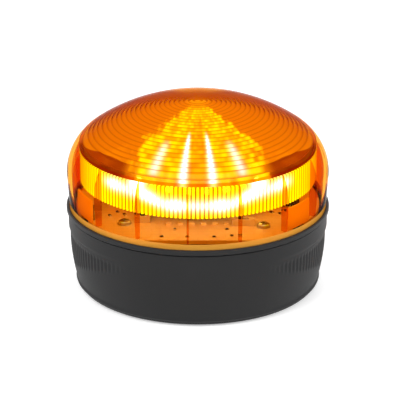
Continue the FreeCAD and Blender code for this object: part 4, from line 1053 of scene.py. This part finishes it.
class BEACON_OT_control_board(bpy.types.Operator):
    """Control board with its lamps, chips, button, switch and soldered small parts"""
    bl_idname = "beacon.control_board"
    bl_label = "Control board"

    def execute(self, context):
        dress("board_white", "deck_board")
        dress("lamp_case", "status_lamps")
        dress("chip_black", "control_chips", "driver_coils")
        dress("button_grey", "service_header", "mode_button_body", "power_switch_body")
        dress("button_black", "mode_button_cap", "power_switch_knob")
        dress("capacitor_metal", "board_capacitors")
        bodies, ends = resistors()
        for piece, slot in ((bodies, "chip_black"), (ends, "screw_steel"), (chip_legs(), "screw_steel"),
                            (screw_lands(), "screw_steel")):
            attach(piece, "head")
        return {"FINISHED"}


# ---------------------------------------------------------------------------------------------------
# Light engine
# ---------------------------------------------------------------------------------------------------
def facets():
    """The names of the LED nodes with the outward direction of the face that each stands on."""
    result = []
    for name in sorted(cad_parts):
        if name.startswith("led_pair_"):
            low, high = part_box(name)
            middle = (low + high) / 2
            result.append((name, Vector((middle.x, middle.y, 0)).normalized()))
    return result


def solids_of(node):
    """The centre of each separate solid of a node."""
    shell = bmesh.new()
    shell.from_mesh(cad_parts[node].data)
    bmesh.ops.remove_doubles(shell, verts=shell.verts, dist=1e-6)
    left = set(shell.verts)
    centres = []
    while left:
        island = {left.pop()}
        edge = list(island)
        while edge:
            near = {link.other_vert(vert) for vert in edge for link in vert.link_edges} - island
            island |= near
            edge = list(near)
        left -= island
        spread = [[vert.co[axis] for vert in island] for axis in range(3)]
        centres.append(Vector([(min(values) + max(values)) / 2 for values in spread]))
    shell.free()
    return sorted(centres, key=lambda centre: tuple(round(part, 6) for part in centre))


def die_pattern():
    """A low round phosphor cushion, standing on the XY plane."""
    radius = 1.25 * MM
    outline = [(0.0, 0.0, "led_lit"), (radius, 0.0, "led_lit"), (radius, 0.15 * MM, "led_lit"),
               (radius * 0.8, 0.24 * MM, "led_lit"), (radius * 0.4, 0.28 * MM, "led_lit"),
               (0.0, 0.29 * MM, "led_lit")]
    return lathe("die_pattern", outline, 16, ["led_lit"])


class BEACON_OT_light_engine(bpy.types.Operator):
    """Many-sided column with its LED boards, and the phosphor of each LED"""
    bl_idname = "beacon.light_engine"
    bl_label = "Light engine"

    def execute(self, context):
        dress("carrier_white", "led_carrier", "carrier_cap")
        window_depth = 0.3 * MM
        lit_within = math.radians(50)
        places = {True: [], False: []}
        for name, outward in facets():
            dress("led_case", name)
            dress("led_board_white", name.replace("pair", "board"))
            face = max(vertex.co.dot(outward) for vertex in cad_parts[name].data.vertices)
            front = outward.y < -math.cos(lit_within)
            for centre in solids_of(name):
                seat = centre + outward * (face - window_depth - centre.dot(outward))
                places[front].append((seat, outward, UP))
        for front, slot, name in ((True, "led_lit", "led_phosphor_lit"),
                                  (False, "led_unlit", "led_phosphor")):
            dies = copies(name, die_pattern(), places[front], slot)
            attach(dies, "head")
        return {"FINISHED"}


class BEACON_OT_battery(bpy.types.Operator):
    """Battery tray with its cells, contacts and pins"""
    bl_idname = "beacon.battery"
    bl_label = "Battery"

    def execute(self, context):
        dress("tray_black", "battery_tray")
        dress("cell_metal", *[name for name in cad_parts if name.startswith("battery_cell")])
        dress("contact_nickel", "spring_contacts", "button_contacts")
        dress("pin_brass", "power_pins")
        return {"FINISHED"}


def recessed_screw(shank_length):
    """A pan-head screw with a cross recess; its head stands on the XY plane."""
    head = sizes().screw_head_height
    radius = sizes().screw_head_radius
    shank = sizes().screw_radius
    steel = "screw_steel"
    outline = [(0.0, head, steel), (radius * 0.5, head, steel), (radius * 0.8, head * 0.9, steel),
               (radius * 0.96, head * 0.65, steel), (radius, head * 0.3, steel), (radius, 0.0, steel)]
    pitch = sizes().screw_pitch
    for turn in range(int(shank_length / pitch)):
        outline.append((shank * 0.82, -turn * pitch, steel))
        outline.append((shank, -(turn + 0.5) * pitch, steel))
    outline.append((shank * 0.5, -shank_length, steel))
    outline.append((0.0, -shank_length, steel))
    screw = lathe("screw_pattern", outline, 20, [steel])
    long, short = radius * 0.55, radius * 0.13
    cross = [(long, -short), (long, short), (short, short), (short, long), (-short, long), (-short, short),
             (-long, short), (-long, -short), (-short, -short), (-short, -long), (short, -long),
             (short, -short)]
    return carved(screw, [slab("recess_cutter", cross, head * 0.35, head * 1.5, 2)], "DIFFERENCE")


class BEACON_OT_fasteners(bpy.types.Operator):
    """Pan-head screws with cross recesses"""
    bl_idname = "beacon.fasteners"
    bl_label = "Fasteners"

    def execute(self, context):
        head = sizes().screw_head_height
        recess_turn = 40.0
        for node in ("board_screws", "carrier_screws", "cap_screws", "tray_screws"):
            low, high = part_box(node)
            upright = -1 if node == "tray_screws" else 1
            seat = high.z - head if upright > 0 else low.z + head
            places = [(Vector((middle.x, middle.y, seat)), UP * upright, heading(recess_turn * index))
                      for index, middle in enumerate(solids_of(node))]
            screws = copies(node + "_detailed", recessed_screw(high.z - low.z - head), places, "screw_steel")
            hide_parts(node)
            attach(screws, "head")
        return {"FINISHED"}


# ---------------------------------------------------------------------------------------------------
# Stage
# ---------------------------------------------------------------------------------------------------
def area_lamp(name, place, target, size, power):
    lamp = bpy.data.lights.new(name, "AREA")
    lamp.shape = "DISK"
    lamp.size = size
    lamp.energy = power
    holder = bpy.data.objects.new(name, lamp)
    holder.visible_glossy = False
    holder.visible_transmission = False
    holder.location = place
    holder.rotation_euler = (Vector(target) - Vector(place)).to_track_quat("-Z", "Y").to_euler()
    bpy.context.scene.collection.objects.link(holder)


def seen_rays(tree):
    """1 for what the camera sees, straight or through glass and in gloss."""
    path = tree.node("ShaderNodeLightPath")
    names = ("Is Camera Ray", "Is Glossy Ray", "Is Transmission Ray")
    first, second, third = [path.outputs[name] for name in names]
    return tree.math("MAXIMUM", first, tree.math("MAXIMUM", second, third))


class BEACON_OT_stage(bpy.types.Operator):
    """Pale floor, soft lamps and the camera"""
    bl_idname = "beacon.stage"
    bl_label = "Stage"

    def execute(self, context):
        scene = context.scene
        mesh = bpy.data.meshes.new("floor")
        reach = 3.0
        mesh.from_pydata([(-reach, -reach, 0), (reach, -reach, 0), (reach, reach, 0), (-reach, reach, 0)],
                         [], [(0, 1, 2, 3)])
        floor = new_piece("floor", mesh)
        material, tree, shader, _ = new_finish("floor")
        shader.inputs["Base Color"].default_value = (0.86, 0.86, 0.86, 1.0)
        shader.inputs["Roughness"].default_value = 0.9
        shader.inputs["Emission Color"].default_value = (1.0, 1.0, 1.0, 1.0)
        tree.feed(shader.inputs["Emission Strength"], tree.product(seen_rays(tree), 0.42))
        mesh.materials.append(material)

        world = bpy.data.worlds.new("studio")
        scene.world = world
        world.use_nodes = True
        world.node_tree.nodes.clear()
        sky = Tree(world.node_tree)
        backdrop = sky.node("ShaderNodeBackground", {"Color": (1.0, 1.0, 1.0, 1.0)})
        sky.feed(backdrop.inputs["Strength"], sky.total(0.55, sky.product(seen_rays(sky), 0.45)))
        output = sky.node("ShaderNodeOutputWorld")
        sky.feed(output.inputs["Surface"], backdrop.outputs[0])

        area_lamp("key_lamp", (-0.55, -0.55, 0.85), (0, 0, 0.03), 0.7, 7.0)
        area_lamp("fill_lamp", (0.75, -0.35, 0.6), (0, 0, 0.03), 0.6, 4.0)
        area_lamp("back_lamp", (0.1, 0.8, 0.7), (0, 0, 0.04), 0.6, 3.0)

        camera = bpy.data.cameras.new("camera")
        camera.lens = 235.96
        camera.sensor_width = 36.0
        camera.shift_x = 0.0055
        holder = bpy.data.objects.new("camera", camera)
        elevation = math.radians(21.47)
        distance = 1.0
        target = Vector((0, 0, 32.4 * MM))
        holder.location = target + Vector((0, -math.cos(elevation), math.sin(elevation))) * distance
        holder.rotation_euler = (math.pi / 2 - elevation, 0, 0)
        scene.collection.objects.link(holder)
        scene.camera = holder
        scene.view_settings.view_transform = "Standard"
        return {"FINISHED"}


# ---------------------------------------------------------------------------------------------------
# Panel and registration
# ---------------------------------------------------------------------------------------------------
OPERATORS = (BEACON_OT_base, BEACON_OT_head_rim, BEACON_OT_lens, BEACON_OT_prism_ring,
             BEACON_OT_control_board, BEACON_OT_light_engine, BEACON_OT_battery, BEACON_OT_fasteners,
             BEACON_OT_stage)


class BEACON_PT_panel(bpy.types.Panel):
    """The beacon's sizes, colours and pieces"""
    bl_label = "Beacon"
    bl_idname = "BEACON_PT_panel"
    bl_space_type = "VIEW_3D"
    bl_region_type = "UI"
    bl_category = "Beacon"

    def draw(self, context):
        for group in (context.scene.beacon_sizes, context.scene.beacon_colours):
            for name in group.__annotations__:
                self.layout.prop(group, name)
        for operator in OPERATORS:
            self.layout.operator(operator.bl_idname)


CLASSES = (BeaconSizes, BeaconColours, *OPERATORS, BEACON_PT_panel)


def register():
    for entry in CLASSES:
        bpy.utils.register_class(entry)
    bpy.types.Scene.beacon_sizes = bpy.props.PointerProperty(type=BeaconSizes)
    bpy.types.Scene.beacon_colours = bpy.props.PointerProperty(type=BeaconColours)


def unregister():
    del bpy.types.Scene.beacon_colours
    del bpy.types.Scene.beacon_sizes
    for entry in reversed(CLASSES):
        bpy.utils.unregister_class(entry)


def main():
    register()
    bpy.ops.beacon.base()
    bpy.ops.beacon.head_rim()
    bpy.ops.beacon.lens()
    bpy.ops.beacon.prism_ring()
    bpy.ops.beacon.control_board()
    bpy.ops.beacon.light_engine()
    bpy.ops.beacon.battery()
    bpy.ops.beacon.fasteners()
    bpy.ops.beacon.stage()


if __name__ == "__main__":
    main()
